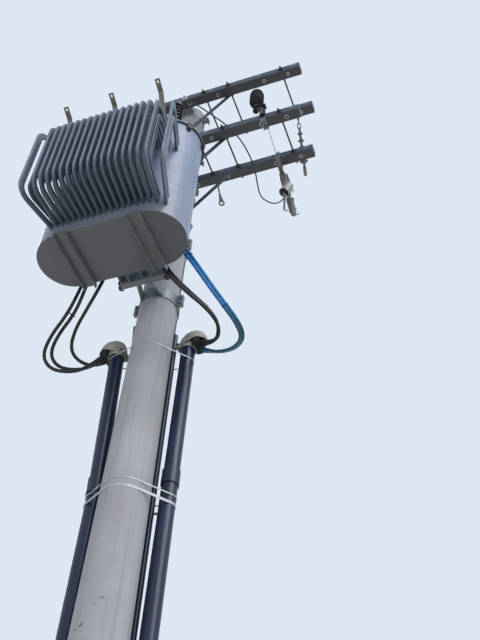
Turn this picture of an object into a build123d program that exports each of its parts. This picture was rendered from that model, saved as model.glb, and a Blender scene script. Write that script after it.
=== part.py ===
"""Pole mounted three-phase transformer on a round concrete pole, with its crossarms and cable risers.

Millimetres. The origin is at the centre of the pole where it leaves the ground, +Z is up the pole,
+X runs along the crossarms and -Y is the side on which the tank hangs.
"""

from build123d import *
import math
import os

os.makedirs("parts", exist_ok=True)

# Pole: a round tapered concrete pole
pole_height = 10080
pole_base_d = 418
pole_top_d = 245
pole_edge = 8
seat_gap = 0.3

# Crossarms: four galvanised rectangular tubes, in pairs in front of and behind the pole
arm_length = 2434
arm_width = 98
arm_height = 84
arm_wall = 5
arm_corner = 8
arm_offset = 218
arm_inner_corner = 4
arm_drop = 74
arm_levels_apart = 833
arm_upper_z = pole_height - arm_drop
arm_lower_z = arm_upper_z - arm_levels_apart
arm_cap = 3
arm_hole_d = 22
arm_hole_places = (60, 365, 850, 1094)

# Threaded rods that draw each pair of arms together
rod_d = 16
clamp_rod_x = 228
brace_rod_x = 487
end_rod_x = 1035
rod_places = (clamp_rod_x, brace_rod_x, end_rod_x)
rod_end = 34
rod_clearance = 1
washer_side = 50
washer_t = 5
nut_d = 28
nut_t = 13

# Saddle blocks between pole and arms
saddle_width = 130
saddle_height = 76

# Flat V braces under the arms, and the pole bands that carry their feet
brace_width = 45
brace_t = 6
brace_foot_x = 38
brace_drop = 540
brace_band_height = 70
band_t = 6
band_ear = 58
band_ear_t = 30
brace_lug_width = 130

# Lightning arresters on the lower front arm
arrester_places = (-787, -540, 787)
arrester_height = 390
arrester_core_d = 66
arrester_shed_d = 132
arrester_sheds = 5
arrester_stem_d = 16
arrester_stem = 34
arrester_bracket_t = 6
arrester_bracket_width = 50
arrester_bracket_rise = 205
arrester_bracket_reach = 95
arrester_bracket_tail = 46

# Fuse cutouts on the back of the lower back arm
cutout_places = (-873, -380, 873)
cutout_body_d = 62
cutout_shed_d = 92
cutout_half = 310
cutout_lower_half = 200
cutout_lower_sheds = 3
cutout_middle = 110
cutout_sheds = 5
cutout_band_t = 6
cutout_pin_d = 16
cutout_pin = 14
cutout_lean_x = 9.0
cutout_lean_y = 7.0
cutout_hanger_width = 40
cutout_hanger_t = 6
cutout_hanger_y = 45
cutout_hanger_drop = 14
fuse_hood_d = 92
fuse_hood_wall = 5
fuse_hood_length = 130
fuse_hood_out = 104
fuse_link_width = 30
fuse_link_height = 24
fuse_link_room = 2
fuse_stud_d = 22
fuse_stud = 90

# Dead-end insulator strings on the upper back arm, pointing along the line that they held
deadend_turn = 10.5
deadend_core_d = 26
deadend_shed_d = 88
deadend_sheds = 5
deadend_body = 430
deadend_link = 110
deadend_link_d = 18
deadend_clamp = 130
deadend_clamp_height = 52
deadend_clamp_width = 34
eye_rod_length = 215
eye_rod_d = 18
eye_d = 62
eye_bar = 14

# Transformer tank: a tall tank with a flat oblong plan and round ends
tank_x = -40
tank_y = -744
tank_length = 1163
tank_depth = 490
tank_bottom = 6920
tank_height = 1240
tank_wall = 5
gasket_t = 6
gasket_inset = 4
gasket_width = 26
lid_t = 9
lid_overhang = 16

# Base rails under the tank, running front to back
rail_places = (-287, 287)
rail_width = 100
rail_height = 48
rail_wall = 6
rail_overrun = 18

# Cooling tubes on the front of the tank, one loop inside the other
tube_depth = 56
tube_width = 20
tube_pitch = 49
tube_count = 17
tube_first_x = -380
tube_first_turn = -2.5
tube_turn_step = 0.7
tube_ends = ((-429, -12.0), (455, 17.0))
outer_reach = 373
outer_low = 7047
outer_high = 7854
outer_bend = 105
inner_step = 84
inner_bend = 75
tube_root = 12

# High voltage bushings on the lid
bushing_places = (-405, 0, 405)
bushing_y = -890
bushing_height = 430
bushing_flange_d = 118
bushing_flange_t = 22
bushing_core_d = 58
bushing_shed_d = 100
bushing_sheds = 7
bushing_stud_d = 18
bushing_stud = 36

# Flat bars that carry arresters on the front of the tank
bar_width = 42
bar_t = 6
bar_foot_z = 7890
bar_foot = 80
bar_knee_out = 190
bar_knee_z = 8290
bar_tip_out = 285
bar_tip_z = 8338
bar_pad = 24

# Low voltage bushings on the back of the tank
lv_places = (-400, -200, 200, 400)
lv_z = 7560
lv_flange_d = 90
lv_flange_t = 14
lv_body_d = 56
lv_length = 70
lv_spade_width = 40
lv_spade_t = 10
lv_spade = 70

# Brackets that hang the tank on the pole
hanger_levels = (7105, 7845)
hanger_band_height = 110
hanger_band_t = 8
channel_out = 335
channel_length = 380
channel_height = 120
channel_depth = 50
channel_wall = 7
gusset_x = 62
gusset_foot_x = 120
gusset_t = 12
gusset_height = 96
lug_spread = 180
lug_width = 76
lug_height = 110
lug_t = 8

# Conduits that take the low voltage cables down the pole
conduit_d = 110
conduit_left_foot = (-258, 80)
conduit_left_joint = (-229, 8)
conduit_left_head = (-268, -24)
conduit_left_top = 6620
conduit_right_place = (240, 132)
conduit_right_top = 6712
conduit_joint_z = 5300
joint_room = 3
coupling_d = 124
coupling_length = 120
coupling_right_rise = 70
conduit_wall = 5
small_tube_d = 42
small_tube_foot = (158, 172)
small_tube_head = (127, 117)
small_tube_top = 6700
small_tube_lift = 2

# Cast weatherheads on the conduits
hood_out = 150
hood_back = 78
hood_height = 175
hood_crown = 20
hood_shoulder = 80
hood_lip_top = 62
hood_lip_in = 14
hood_lip_drop = 24
hood_mouth_in = 66
hood_width = 150

# Steel straps round the pole and the conduits
strap_levels = ((6530, 10), (5268, 10), (5205, 20))
strap_t = 1.5
strap_slack = 1

# Cable routes, from the transformer to the weatherheads and from the bushings to the fuse cutouts
low_cable_d = 27
lead_d = 12
cable_routes = {
    "black_cable_left_outer": (
        (
            (-454, -362, 7552),
            (-458, -395, 7370),
            (-448, -425, 7160),
            (-452, -440, 6960),
            (-540, -395, 6760),
            (-690, -330, 6640),
            (-785, -250, 6530),
            (-735, -185, 6430),
            (-600, -130, 6410),
            (-470, -85, 6460),
            (-372, -62, 6588),
        ),
        low_cable_d,
    ),
    "black_cable_left_middle": (
        (
            (-426, -362, 7552),
            (-416, -395, 7370),
            (-405, -425, 7160),
            (-405, -438, 6965),
            (-500, -360, 6790),
            (-640, -290, 6680),
            (-725, -215, 6575),
            (-680, -145, 6490),
            (-570, -90, 6470),
            (-465, -45, 6510),
            (-372, -26, 6592),
        ),
        low_cable_d,
    ),
    "black_cable_left_inner": (
        (
            (-246, -362, 7552),
            (-252, -392, 7370),
            (-262, -415, 7160),
            (-300, -410, 6980),
            (-420, -340, 6830),
            (-540, -255, 6720),
            (-600, -165, 6620),
            (-550, -85, 6555),
            (-455, -10, 6550),
            (-372, 10, 6594),
        ),
        low_cable_d,
    ),
    "black_cable_right_outer": (
        (
            (146, -362, 7552),
            (150, -395, 7370),
            (165, -425, 7160),
            (215, -440, 6980),
            (305, -395, 6850),
            (405, -310, 6760),
            (500, -200, 6700),
            (560, -70, 6650),
            (530, 40, 6620),
            (440, 76, 6632),
            (344, 84, 6678),
        ),
        low_cable_d,
    ),
    "black_cable_right_inner": (
        (
            (174, -362, 7552),
            (184, -395, 7370),
            (205, -425, 7180),
            (255, -430, 7020),
            (335, -370, 6895),
            (425, -280, 6800),
            (505, -170, 6740),
            (545, -50, 6700),
            (510, 55, 6655),
            (430, 112, 6655),
            (344, 118, 6678),
        ),
        low_cable_d,
    ),
    "blue_cable_outer": (
        (
            (346, -362, 7552),
            (352, -395, 7370),
            (385, -430, 7190),
            (445, -450, 7050),
            (505, -425, 6870),
            (590, -350, 6710),
            (660, -250, 6600),
            (715, -130, 6530),
            (720, -10, 6500),
            (640, 70, 6510),
            (530, 120, 6550),
            (430, 146, 6605),
            (344, 150, 6672),
        ),
        low_cable_d,
    ),
    "blue_cable_inner": (
        (
            (374, -362, 7552),
            (386, -395, 7370),
            (420, -425, 7200),
            (478, -435, 7060),
            (540, -400, 6890),
            (620, -325, 6745),
            (690, -225, 6645),
            (745, -105, 6575),
            (748, 15, 6545),
            (670, 100, 6540),
            (560, 155, 6580),
            (455, 180, 6630),
            (342, 182, 6672),
        ),
        low_cable_d,
    ),
    "bushing_lead_right": (
        (
            (379, -890, 8624),
            (440, -876, 8640),
            (527, -830, 8580),
            (609, -760, 8518),
            (713, -650, 8472),
            (790, -520, 8420),
            (830, -380, 8360),
            (835, -240, 8320),
            (810, -110, 8300),
            (795, 10, 8305),
            (820, 100, 8345),
            (860, 180, 8400),
            (908, 236, 8490),
            (932, 260, 8585.5),
        ),
        lead_d,
    ),
    "bushing_lead_centre": (
        (
            (-54, -890, 8624),
            (-96, -876, 8640),
            (-157, -830, 8580),
            (-214, -760, 8518),
            (-287, -650, 8472),
            (-340, -520, 8420),
            (-368, -380, 8360),
            (-371, -240, 8320),
            (-354, -110, 8300),
            (-344, 10, 8305),
            (-361, 100, 8345),
            (-389, 180, 8400),
            (-422, 236, 8490),
            (-439, 260, 8585.7),
        ),
        lead_d,
    ),
    "bushing_lead_left": (
        (
            (-459, -890, 8624),
            (-511, -876, 8640),
            (-586, -830, 8580),
            (-656, -760, 8518),
            (-745, -650, 8472),
            (-811, -520, 8420),
            (-845, -380, 8360),
            (-849, -240, 8320),
            (-828, -110, 8300),
            (-815, 10, 8305),
            (-836, 100, 8345),
            (-870, 180, 8400),
            (-911, 236, 8490),
            (-932, 260, 8585.6),
        ),
        lead_d,
    ),
}


def pole_radius(z):
    """Radius of the tapered pole at height z."""
    return pole_base_d / 2 - (pole_base_d - pole_top_d) / 2 * z / pole_height


def save(piece, name):
    """Label a finished piece and write its file."""
    piece.part.label = name
    export_step(piece.part, f"parts/{name}.step")


def shed_profile(core_d, shed_d, length, count):
    """Half outline of a ribbed insulator body standing on the axis, as a closed list of points."""
    core = core_d / 2
    rim = shed_d / 2
    step = length / count
    points = [(0, 0), (core, 0)]
    for i in range(count):
        z = i * step
        points.append((core, z + step * 0.42))
        points.append((rim, z + step * 0.34))
        points.append((rim, z + step * 0.44))
        points.append((core, z + step * 0.74))
    points.append((core, length))
    points.append((0, length))
    return points


def ribbed_body(plane, core_d, shed_d, length, count):
    """Make a ribbed insulator body that stands on the plane along its normal."""
    with BuildPart() as body:
        with BuildSketch(Plane(origin=plane.origin, x_dir=plane.x_dir, z_dir=-plane.y_dir)):
            with BuildLine():
                Polyline(*shed_profile(core_d, shed_d, length, count), close=True)
            make_face()
        revolve(axis=Axis(plane.origin, plane.z_dir))
    return body.part


def upright(x, y, z):
    """A level plane at a point."""
    return Plane(origin=(x, y, z), x_dir=(1, 0, 0), z_dir=(0, 0, 1))


# Pole
with BuildPart() as pole:
    with BuildSketch(Plane.XZ):
        with BuildLine():
            Polyline(
                (0, 0),
                (pole_radius(0), 0),
                (pole_radius(pole_height - pole_edge), pole_height - pole_edge),
                (pole_radius(pole_height) - pole_edge, pole_height),
                (0, pole_height),
                close=True,
            )
        make_face()
    revolve(axis=Axis.Z)
save(pole, "pole")

# Crossarms
arm_places = {
    "crossarm_upper_front": (-arm_offset, arm_upper_z),
    "crossarm_upper_back": (arm_offset, arm_upper_z),
    "crossarm_lower_front": (-arm_offset, arm_lower_z),
    "crossarm_lower_back": (arm_offset, arm_lower_z),
}
both_sides = (-1, 1)
for arm_name, (arm_y, arm_z) in arm_places.items():
    with BuildPart() as crossarm:
        with BuildSketch(Plane.YZ.offset(-arm_length / 2)):
            with Locations((arm_y, arm_z)):
                RectangleRounded(arm_width, arm_height, arm_corner)
                RectangleRounded(
                    arm_width - 2 * arm_wall,
                    arm_height - 2 * arm_wall,
                    arm_inner_corner,
                    mode=Mode.SUBTRACT,
                )
        extrude(amount=arm_length)
        with BuildSketch(Plane.XY.offset(arm_z)):
            with Locations(*[(side * x, arm_y) for x in arm_hole_places for side in both_sides]):
                Circle(arm_hole_d / 2)
        extrude(amount=arm_height, both=True, mode=Mode.SUBTRACT)
        with BuildSketch(Plane.XZ.offset(-arm_y)):
            with Locations(*[(side * x, arm_z) for x in rod_places for side in both_sides]):
                Circle(rod_d / 2 + rod_clearance)
        extrude(amount=arm_width, both=True, mode=Mode.SUBTRACT)
    save(crossarm, arm_name)

with BuildPart() as crossarm_end_caps:
    for side in both_sides:
        with BuildSketch(Plane.YZ.offset(side * (arm_length / 2 + arm_cap / 2))):
            with Locations(*arm_places.values()):
                RectangleRounded(arm_width, arm_height, arm_corner)
        extrude(amount=arm_cap / 2, both=True)
save(crossarm_end_caps, "crossarm_end_caps")

# Rods through each pair of arms, with square washers and nuts at every wall
rod_half = arm_offset + arm_width / 2 + rod_end
outer_face = arm_offset + arm_width / 2
inner_face = arm_offset - arm_width / 2
plain_rods = [side * x for x in (clamp_rod_x, end_rod_x) for side in both_sides]
brace_rods = [side * brace_rod_x for side in both_sides]
for level_name, level_z in (("upper", arm_upper_z), ("lower", arm_lower_z)):
    with BuildPart() as tie_rods:
        with BuildSketch(Plane.XZ):
            with Locations(*[(x, level_z) for x in plain_rods + brace_rods]):
                Circle(rod_d / 2)
        extrude(amount=rod_half, both=True)
        for rods, inner_seat in ((plain_rods, inner_face), (brace_rods, inner_face - brace_t)):
            spots = [(x, level_z) for x in rods]
            for seat, outward in ((outer_face, 1), (inner_seat, -1)):
                for side in both_sides:
                    with BuildSketch(Plane.XZ.offset(side * seat)):
                        with Locations(*spots):
                            Rectangle(washer_side, washer_side)
                    extrude(amount=side * outward * washer_t)
                    with BuildSketch(Plane.XZ.offset(side * (seat + outward * washer_t))):
                        with Locations(*spots):
                            RegularPolygon(nut_d / 2, 6)
                    extrude(amount=side * outward * nut_t)
    save(tie_rods, f"{level_name}_arm_tie_rods")

# A body a little larger than the pole, which hollows what seats on it
with BuildPart() as pole_space:
    with BuildSketch(Plane.XZ):
        with BuildLine():
            Polyline(
                (0, 0),
                (pole_radius(0) + seat_gap, 0),
                (pole_radius(pole_height) + seat_gap, pole_height),
                (0, pole_height),
                close=True,
            )
        make_face()
    revolve(axis=Axis.Z)

# Saddle blocks
for level_name, level_z in (("upper", arm_upper_z), ("lower", arm_lower_z)):
    with BuildPart() as saddles:
        with BuildSketch(Plane.XZ.offset(-inner_face)):
            with Locations((0, level_z)):
                Rectangle(saddle_width, saddle_height)
        extrude(amount=2 * inner_face)
        add(pole_space.part, mode=Mode.SUBTRACT)
    save(saddles, f"{level_name}_arm_saddles")

# Pole bands under the arms, with side ears and a lug in front and behind for the brace feet
for level_name, level_z in (("upper", arm_upper_z), ("lower", arm_lower_z)):
    band_z = level_z - brace_drop
    band_r = pole_radius(band_z) + band_t
    with BuildPart() as brace_band:
        with BuildSketch(Plane.XY.offset(band_z - brace_band_height / 2)):
            Circle(band_r)
            with Locations((-band_r - band_ear / 2 + band_t, 0), (band_r + band_ear / 2 - band_t, 0)):
                Rectangle(band_ear, band_ear_t)
        extrude(amount=brace_band_height)
        with BuildSketch(Plane.XZ.offset(-(inner_face - brace_t))):
            with Locations((0, band_z)):
                Rectangle(brace_lug_width, brace_band_height)
        extrude(amount=2 * (inner_face - brace_t))
        add(pole_space.part, mode=Mode.SUBTRACT)
    save(brace_band, f"{level_name}_brace_band")

# Flat braces, a pair in front of and a pair behind the pole at each level
brace_run = brace_rod_x - brace_foot_x
brace_span = math.hypot(brace_run, brace_drop)
brace_angle = math.degrees(math.atan2(brace_drop, brace_run))
for level_name, level_z in (("upper", arm_upper_z), ("lower", arm_lower_z)):
    with BuildPart() as braces:
        for outward in both_sides:
            with BuildSketch(Plane.XZ.offset(outward * (inner_face - brace_t))):
                for side in both_sides:
                    with Locations((side * (brace_rod_x + brace_foot_x) / 2, level_z - brace_drop / 2)):
                        SlotCenterToCenter(brace_span, brace_width, rotation=side * brace_angle)
                    with Locations((side * brace_rod_x, level_z)):
                        Circle(rod_d / 2 + rod_clearance, mode=Mode.SUBTRACT)
            extrude(amount=outward * brace_t)
    save(braces, f"{level_name}_braces")

# Lightning arresters, each on a bent strap bolted to the front of the lower front arm
arrester_base_z = arm_lower_z + arm_height / 2 + arrester_bracket_rise
arrester_bodies = [
    ribbed_body(
        upright(arrester_x, -arm_offset, arrester_base_z),
        arrester_core_d,
        arrester_shed_d,
        arrester_height,
        arrester_sheds,
    )
    for arrester_x in arrester_places
]
with BuildPart() as arresters:
    add(arrester_bodies)
    with BuildSketch(Plane.XY.offset(arrester_base_z + arrester_height)):
        with Locations(*[(arrester_x, -arm_offset) for arrester_x in arrester_places]):
            Circle(arrester_stem_d / 2)
    extrude(amount=arrester_stem)
save(arresters, "arresters")

strap_foot_z = arm_lower_z - arm_height / 2 - arrester_bracket_tail
with BuildPart() as arrester_brackets:
    for arrester_x in arrester_places:
        side = math.copysign(1, arrester_x)
        strap_x = arrester_x + side * arrester_bracket_reach
        shelf_front = -outer_face - arrester_bracket_t
        shelf_back = -arm_offset + arrester_bracket_width / 2
        with BuildSketch(Plane.XY.offset(arrester_base_z - arrester_bracket_t)):
            with Locations(((arrester_x + strap_x) / 2, (shelf_front + shelf_back) / 2)):
                Rectangle(arrester_bracket_reach + arrester_bracket_width, shelf_back - shelf_front)
        extrude(amount=arrester_bracket_t)
        with BuildSketch(Plane.XZ.offset(outer_face)):
            with Locations((strap_x, (arrester_base_z + strap_foot_z) / 2)):
                Rectangle(arrester_bracket_width, arrester_base_z - strap_foot_z)
        extrude(amount=arrester_bracket_t)
save(arrester_brackets, "arrester_brackets")

# Fuse cutouts: two porcelain halves on one leaning axis with a metal middle, below a strap on the arm
cutout_top_z = arm_lower_z - arm_height / 2 - cutout_hanger_drop
cutout_y = outer_face + cutout_hanger_t + cutout_hanger_y
cutout_pin_room = seat_gap + cutout_pin_d / 2 * math.sin(math.radians(cutout_lean_x + cutout_lean_y))


def cutout_plane(cutout_x, along):
    """The plane across a cutout's axis, at a distance along it from the top of its pin."""
    lean = math.copysign(math.tan(math.radians(cutout_lean_x)), cutout_x)
    axis = Vector(lean, math.tan(math.radians(cutout_lean_y)), -1).normalized()
    pin_top = Vector(cutout_x, cutout_y, cutout_top_z - cutout_pin_room)
    return Plane(origin=pin_top + axis * along, x_dir=(0, 1, 0), z_dir=axis)


cutout_middle_start = cutout_pin + cutout_half
cutout_lower_start = cutout_middle_start + cutout_middle
porcelain = [
    ribbed_body(cutout_plane(cutout_x, start), cutout_body_d, cutout_shed_d, half, sheds)
    for cutout_x in cutout_places
    for start, half, sheds in (
        (cutout_pin, cutout_half, cutout_sheds),
        (cutout_lower_start, cutout_lower_half, cutout_lower_sheds),
    )
]
with BuildPart() as cutout_insulators:
    add(porcelain)
    for cutout_x in cutout_places:
        with BuildSketch(cutout_plane(cutout_x, 0)):
            Circle(cutout_pin_d / 2)
        extrude(amount=cutout_pin)
        with BuildSketch(cutout_plane(cutout_x, cutout_middle_start)):
            Circle(cutout_body_d / 2 + cutout_band_t)
        extrude(amount=cutout_middle)
save(cutout_insulators, "cutout_insulators")

cutout_shelf = cutout_hanger_t + cutout_hanger_y + cutout_body_d / 2
with BuildPart() as cutout_hangers:
    for cutout_x in cutout_places:
        hanger_top = arm_lower_z + arm_height / 2
        with BuildSketch(Plane.XZ.offset(-outer_face)):
            with Locations((cutout_x, (hanger_top + cutout_top_z) / 2)):
                Rectangle(cutout_hanger_width, hanger_top - cutout_top_z)
        extrude(amount=-cutout_hanger_t)
        with BuildSketch(Plane.XY.offset(cutout_top_z)):
            with Locations((cutout_x, outer_face)):
                Rectangle(cutout_hanger_width, cutout_shelf, align=(Align.CENTER, Align.MIN))
        extrude(amount=cutout_hanger_t)
save(cutout_hangers, "cutout_hangers")

# Fuse hoods: a grey cup, open at the bottom, held in front of each cutout's metal middle
with BuildPart() as fuse_hoods:
    for cutout_x in cutout_places:
        middle = cutout_plane(cutout_x, cutout_middle_start + cutout_middle / 2).origin
        hood_spot = (middle.X, middle.Y - fuse_hood_out)
        hood_foot_z = middle.Z - fuse_hood_length / 2
        link_end = middle.Y - cutout_body_d / 2 - cutout_band_t - fuse_link_room
        link_start = hood_spot[1] + fuse_hood_d / 2 - fuse_hood_wall
        with BuildSketch(Plane.XY.offset(hood_foot_z)):
            with Locations(hood_spot):
                Circle(fuse_hood_d / 2)
                Circle(fuse_hood_d / 2 - fuse_hood_wall, mode=Mode.SUBTRACT)
        extrude(amount=fuse_hood_length)
        with BuildSketch(Plane.XY.offset(hood_foot_z + fuse_hood_length)):
            with Locations(hood_spot):
                Circle(fuse_hood_d / 2)
        extrude(amount=fuse_hood_wall)
        with BuildSketch(Plane.XY.offset(hood_foot_z - fuse_stud)):
            with Locations(hood_spot):
                Circle(fuse_stud_d / 2)
        extrude(amount=fuse_stud + fuse_hood_length + fuse_hood_wall)
        with BuildSketch(Plane.XY.offset(middle.Z - fuse_link_height / 2)):
            with Locations((middle.X, (link_start + link_end) / 2)):
                Rectangle(fuse_link_width, link_end - link_start)
        extrude(amount=fuse_link_height)
save(fuse_hoods, "fuse_hoods")

# Dead-end strings: an eye bolt, a ribbed polymer body and a wire clamp, along the pull of the line
line_pull = Vector(-math.sin(math.radians(deadend_turn)), math.cos(math.radians(deadend_turn)), 0)
rod_end_y = rod_half + seat_gap


def pull_plane(x, z, room, along):
    """The plane across a line's pull, at a distance along it from the end of a tie rod."""
    start = Vector(x, rod_end_y + room, z)
    return Plane(origin=start + line_pull * along, x_dir=(0, 0, 1), z_dir=line_pull)


pull_tilt = math.sin(math.radians(deadend_turn))
link_room = deadend_link_d / 2 * pull_tilt
polymer = [
    ribbed_body(
        pull_plane(x, arm_upper_z, link_room, deadend_link),
        deadend_core_d,
        deadend_shed_d,
        deadend_body,
        deadend_sheds,
    )
    for x in (-end_rod_x, end_rod_x)
]
with BuildPart() as deadend_strings:
    add(polymer)
    for x in (-end_rod_x, end_rod_x):
        with BuildSketch(pull_plane(x, arm_upper_z, link_room, 0)):
            Circle(deadend_link_d / 2)
        extrude(amount=deadend_link)
        with BuildSketch(pull_plane(x, arm_upper_z, link_room, deadend_link + deadend_body)):
            Rectangle(deadend_clamp_height, deadend_clamp_width)
        extrude(amount=deadend_clamp)
save(deadend_strings, "deadend_strings")

with BuildPart() as deadend_eye_rod:
    eye_room = eye_rod_d / 2 * pull_tilt
    eye_centre = pull_plane(clamp_rod_x, arm_lower_z, eye_room, eye_rod_length).origin
    with BuildSketch(pull_plane(clamp_rod_x, arm_lower_z, eye_room, 0)):
        Circle(eye_rod_d / 2)
    extrude(amount=eye_rod_length - eye_d / 2 + eye_bar / 2)
    with BuildSketch(Plane.XY.offset(arm_lower_z - eye_bar / 2)):
        with Locations((eye_centre.X, eye_centre.Y)):
            Circle(eye_d / 2)
            Circle(eye_d / 2 - eye_bar, mode=Mode.SUBTRACT)
    extrude(amount=eye_bar)
save(deadend_eye_rod, "deadend_eye_rod")

# Tank: an open-topped steel shell with a flat oblong plan
tank_rim_z = tank_bottom + tank_height
tank_back_y = tank_y + tank_depth / 2
tank_front_y = tank_y - tank_depth / 2
with BuildPart() as tank_shell:
    with BuildSketch(Plane.XY.offset(tank_bottom)):
        with Locations((tank_x, tank_y)):
            SlotOverall(tank_length, tank_depth)
    extrude(amount=tank_height)
    with BuildSketch(Plane.XY.offset(tank_bottom + tank_wall)):
        with Locations((tank_x, tank_y)):
            SlotOverall(tank_length - 2 * tank_wall, tank_depth - 2 * tank_wall)
    extrude(amount=tank_height, mode=Mode.SUBTRACT)
save(tank_shell, "tank_shell")

with BuildPart() as lid_gasket:
    with BuildSketch(Plane.XY.offset(tank_rim_z)):
        with Locations((tank_x, tank_y)):
            SlotOverall(tank_length + 2 * gasket_inset, tank_depth + 2 * gasket_inset)
            SlotOverall(tank_length - 2 * gasket_width, tank_depth - 2 * gasket_width, mode=Mode.SUBTRACT)
    extrude(amount=gasket_t)
save(lid_gasket, "lid_gasket")

lid_z = tank_rim_z + gasket_t
with BuildPart() as tank_lid:
    with BuildSketch(Plane.XY.offset(lid_z)):
        with Locations((tank_x, tank_y)):
            SlotOverall(tank_length + 2 * lid_overhang, tank_depth + 2 * lid_overhang)
    extrude(amount=lid_t)
save(tank_lid, "tank_lid")

# Base rails: channels welded under the tank with their flanges down
rail_length = tank_depth + 2 * rail_overrun
rail_half = rail_width / 2
rail_outline = (
    (-rail_half, tank_bottom),
    (-rail_half, tank_bottom - rail_height),
    (-rail_half + rail_wall, tank_bottom - rail_height),
    (-rail_half + rail_wall, tank_bottom - rail_wall),
    (rail_half - rail_wall, tank_bottom - rail_wall),
    (rail_half - rail_wall, tank_bottom - rail_height),
    (rail_half, tank_bottom - rail_height),
    (rail_half, tank_bottom),
)
with BuildPart() as base_rails:
    for rail_x in rail_places:
        with BuildSketch(Plane.XZ.offset(-tank_y - rail_length / 2)):
            with BuildLine():
                Polyline(*[(tank_x + rail_x + x, z) for x, z in rail_outline], close=True)
            make_face()
        extrude(amount=rail_length)
save(base_rails, "base_rails")


def tank_wall_y(x):
    """Where the front wall of the tank stands at a place along it, also on the round ends."""
    straight = tank_length / 2 - tank_depth / 2
    into_end = max(abs(x - tank_x) - straight, 0)
    return tank_y - math.sqrt((tank_depth / 2) ** 2 - into_end**2)


def tube_loop(x, turn, reach, low, high, bend):
    """One cooling tube: out of the front wall, round two bends and back in higher up."""
    root = Vector(x, tank_wall_y(x) + tube_root, 0)
    out = Vector(math.sin(math.radians(turn)), -math.cos(math.radians(turn)), 0)
    side = Plane(origin=root, x_dir=out, z_dir=out.cross(Vector(0, 0, 1)))
    end = reach + tube_root
    with BuildPart() as loop:
        with BuildLine(side) as path:
            FilletPolyline((0, low), (end, low), (end, high), (0, high), radius=bend)
        with BuildSketch(Plane(origin=root + Vector(0, 0, low), x_dir=(0, 0, 1), z_dir=out)):
            SlotOverall(tube_depth, tube_width)
        sweep()
    return loop.part


# Cooling tubes in two rows, the inner loop nested in the outer one
tube_places = [
    (tube_first_x + i * tube_pitch, tube_first_turn + i * tube_turn_step) for i in range(tube_count)
]
tube_places += tube_ends
outer_loops = [
    tube_loop(x, turn, outer_reach, outer_low, outer_high, outer_bend) for x, turn in tube_places
]
inner_loops = [
    tube_loop(
        x,
        turn,
        outer_reach - inner_step,
        outer_low + inner_step,
        outer_high - inner_step,
        inner_bend,
    )
    for x, turn in tube_places
]
with BuildPart() as tank_space:
    with BuildSketch(Plane.XY.offset(tank_bottom)):
        with Locations((tank_x, tank_y)):
            SlotOverall(tank_length, tank_depth)
    extrude(amount=tank_height)
with BuildPart() as outer_cooling_tubes:
    add(outer_loops)
    add(tank_space.part, mode=Mode.SUBTRACT)
save(outer_cooling_tubes, "outer_cooling_tubes")
with BuildPart() as inner_cooling_tubes:
    add(inner_loops)
    add(tank_space.part, mode=Mode.SUBTRACT)
save(inner_cooling_tubes, "inner_cooling_tubes")

# High voltage bushings
lid_top = lid_z + lid_t
bushing_spots = [(tank_x + x, bushing_y) for x in bushing_places]
bushing_bodies = [
    ribbed_body(
        upright(x, y, lid_top + bushing_flange_t),
        bushing_core_d,
        bushing_shed_d,
        bushing_height - bushing_flange_t,
        bushing_sheds,
    )
    for x, y in bushing_spots
]
with BuildPart() as hv_bushings:
    add(bushing_bodies)
    with BuildSketch(Plane.XY.offset(lid_top)):
        with Locations(*bushing_spots):
            Circle(bushing_flange_d / 2)
    extrude(amount=bushing_flange_t)
    with BuildSketch(Plane.XY.offset(lid_top + bushing_height)):
        with Locations(*bushing_spots):
            Circle(bushing_stud_d / 2)
    extrude(amount=bushing_stud)
save(hv_bushings, "hv_bushings")

# Flat arrester bars on the front wall, bent outward and again at the tip
with BuildPart() as arrester_bars:
    bar_line = (
        (tank_front_y, bar_foot_z),
        (tank_front_y, bar_foot_z + bar_foot),
        (tank_front_y - bar_knee_out, bar_knee_z),
        (tank_front_y - bar_tip_out, bar_tip_z),
    )
    for bar_x in bushing_places:
        with BuildSketch(Plane.YZ.offset(tank_x + bar_x - bar_width / 2)):
            with BuildLine():
                Polyline(*bar_line)
                offset(amount=bar_t, side=Side.LEFT, kind=Kind.INTERSECTION)
            make_face()
        extrude(amount=bar_width)
    with BuildSketch(Plane.XY.offset(bar_foot_z)):
        with Locations(*[(tank_x + bar_x, tank_front_y) for bar_x in bushing_places]):
            Rectangle(bar_width, bar_pad, align=(Align.CENTER, Align.MIN))
    extrude(amount=bar_foot)
    add(tank_space.part, mode=Mode.SUBTRACT)
save(arrester_bars, "arrester_bars")

# Low voltage bushings: a flange, a short body and a flat spade on the back wall
with BuildPart() as lv_bushings:
    lv_spots = [(tank_x + x, lv_z) for x in lv_places]
    with BuildSketch(Plane.XZ.offset(-tank_back_y)):
        with Locations(*lv_spots):
            Circle(lv_flange_d / 2)
    extrude(amount=-lv_flange_t)
    with BuildSketch(Plane.XZ.offset(-tank_back_y - lv_flange_t)):
        with Locations(*lv_spots):
            Circle(lv_body_d / 2)
    extrude(amount=-lv_length)
    with BuildSketch(Plane.XZ.offset(-tank_back_y - lv_flange_t - lv_length)):
        with Locations(*lv_spots):
            Rectangle(lv_spade_width, lv_spade_t)
    extrude(amount=-lv_spade)
save(lv_bushings, "lv_bushings")

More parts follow.
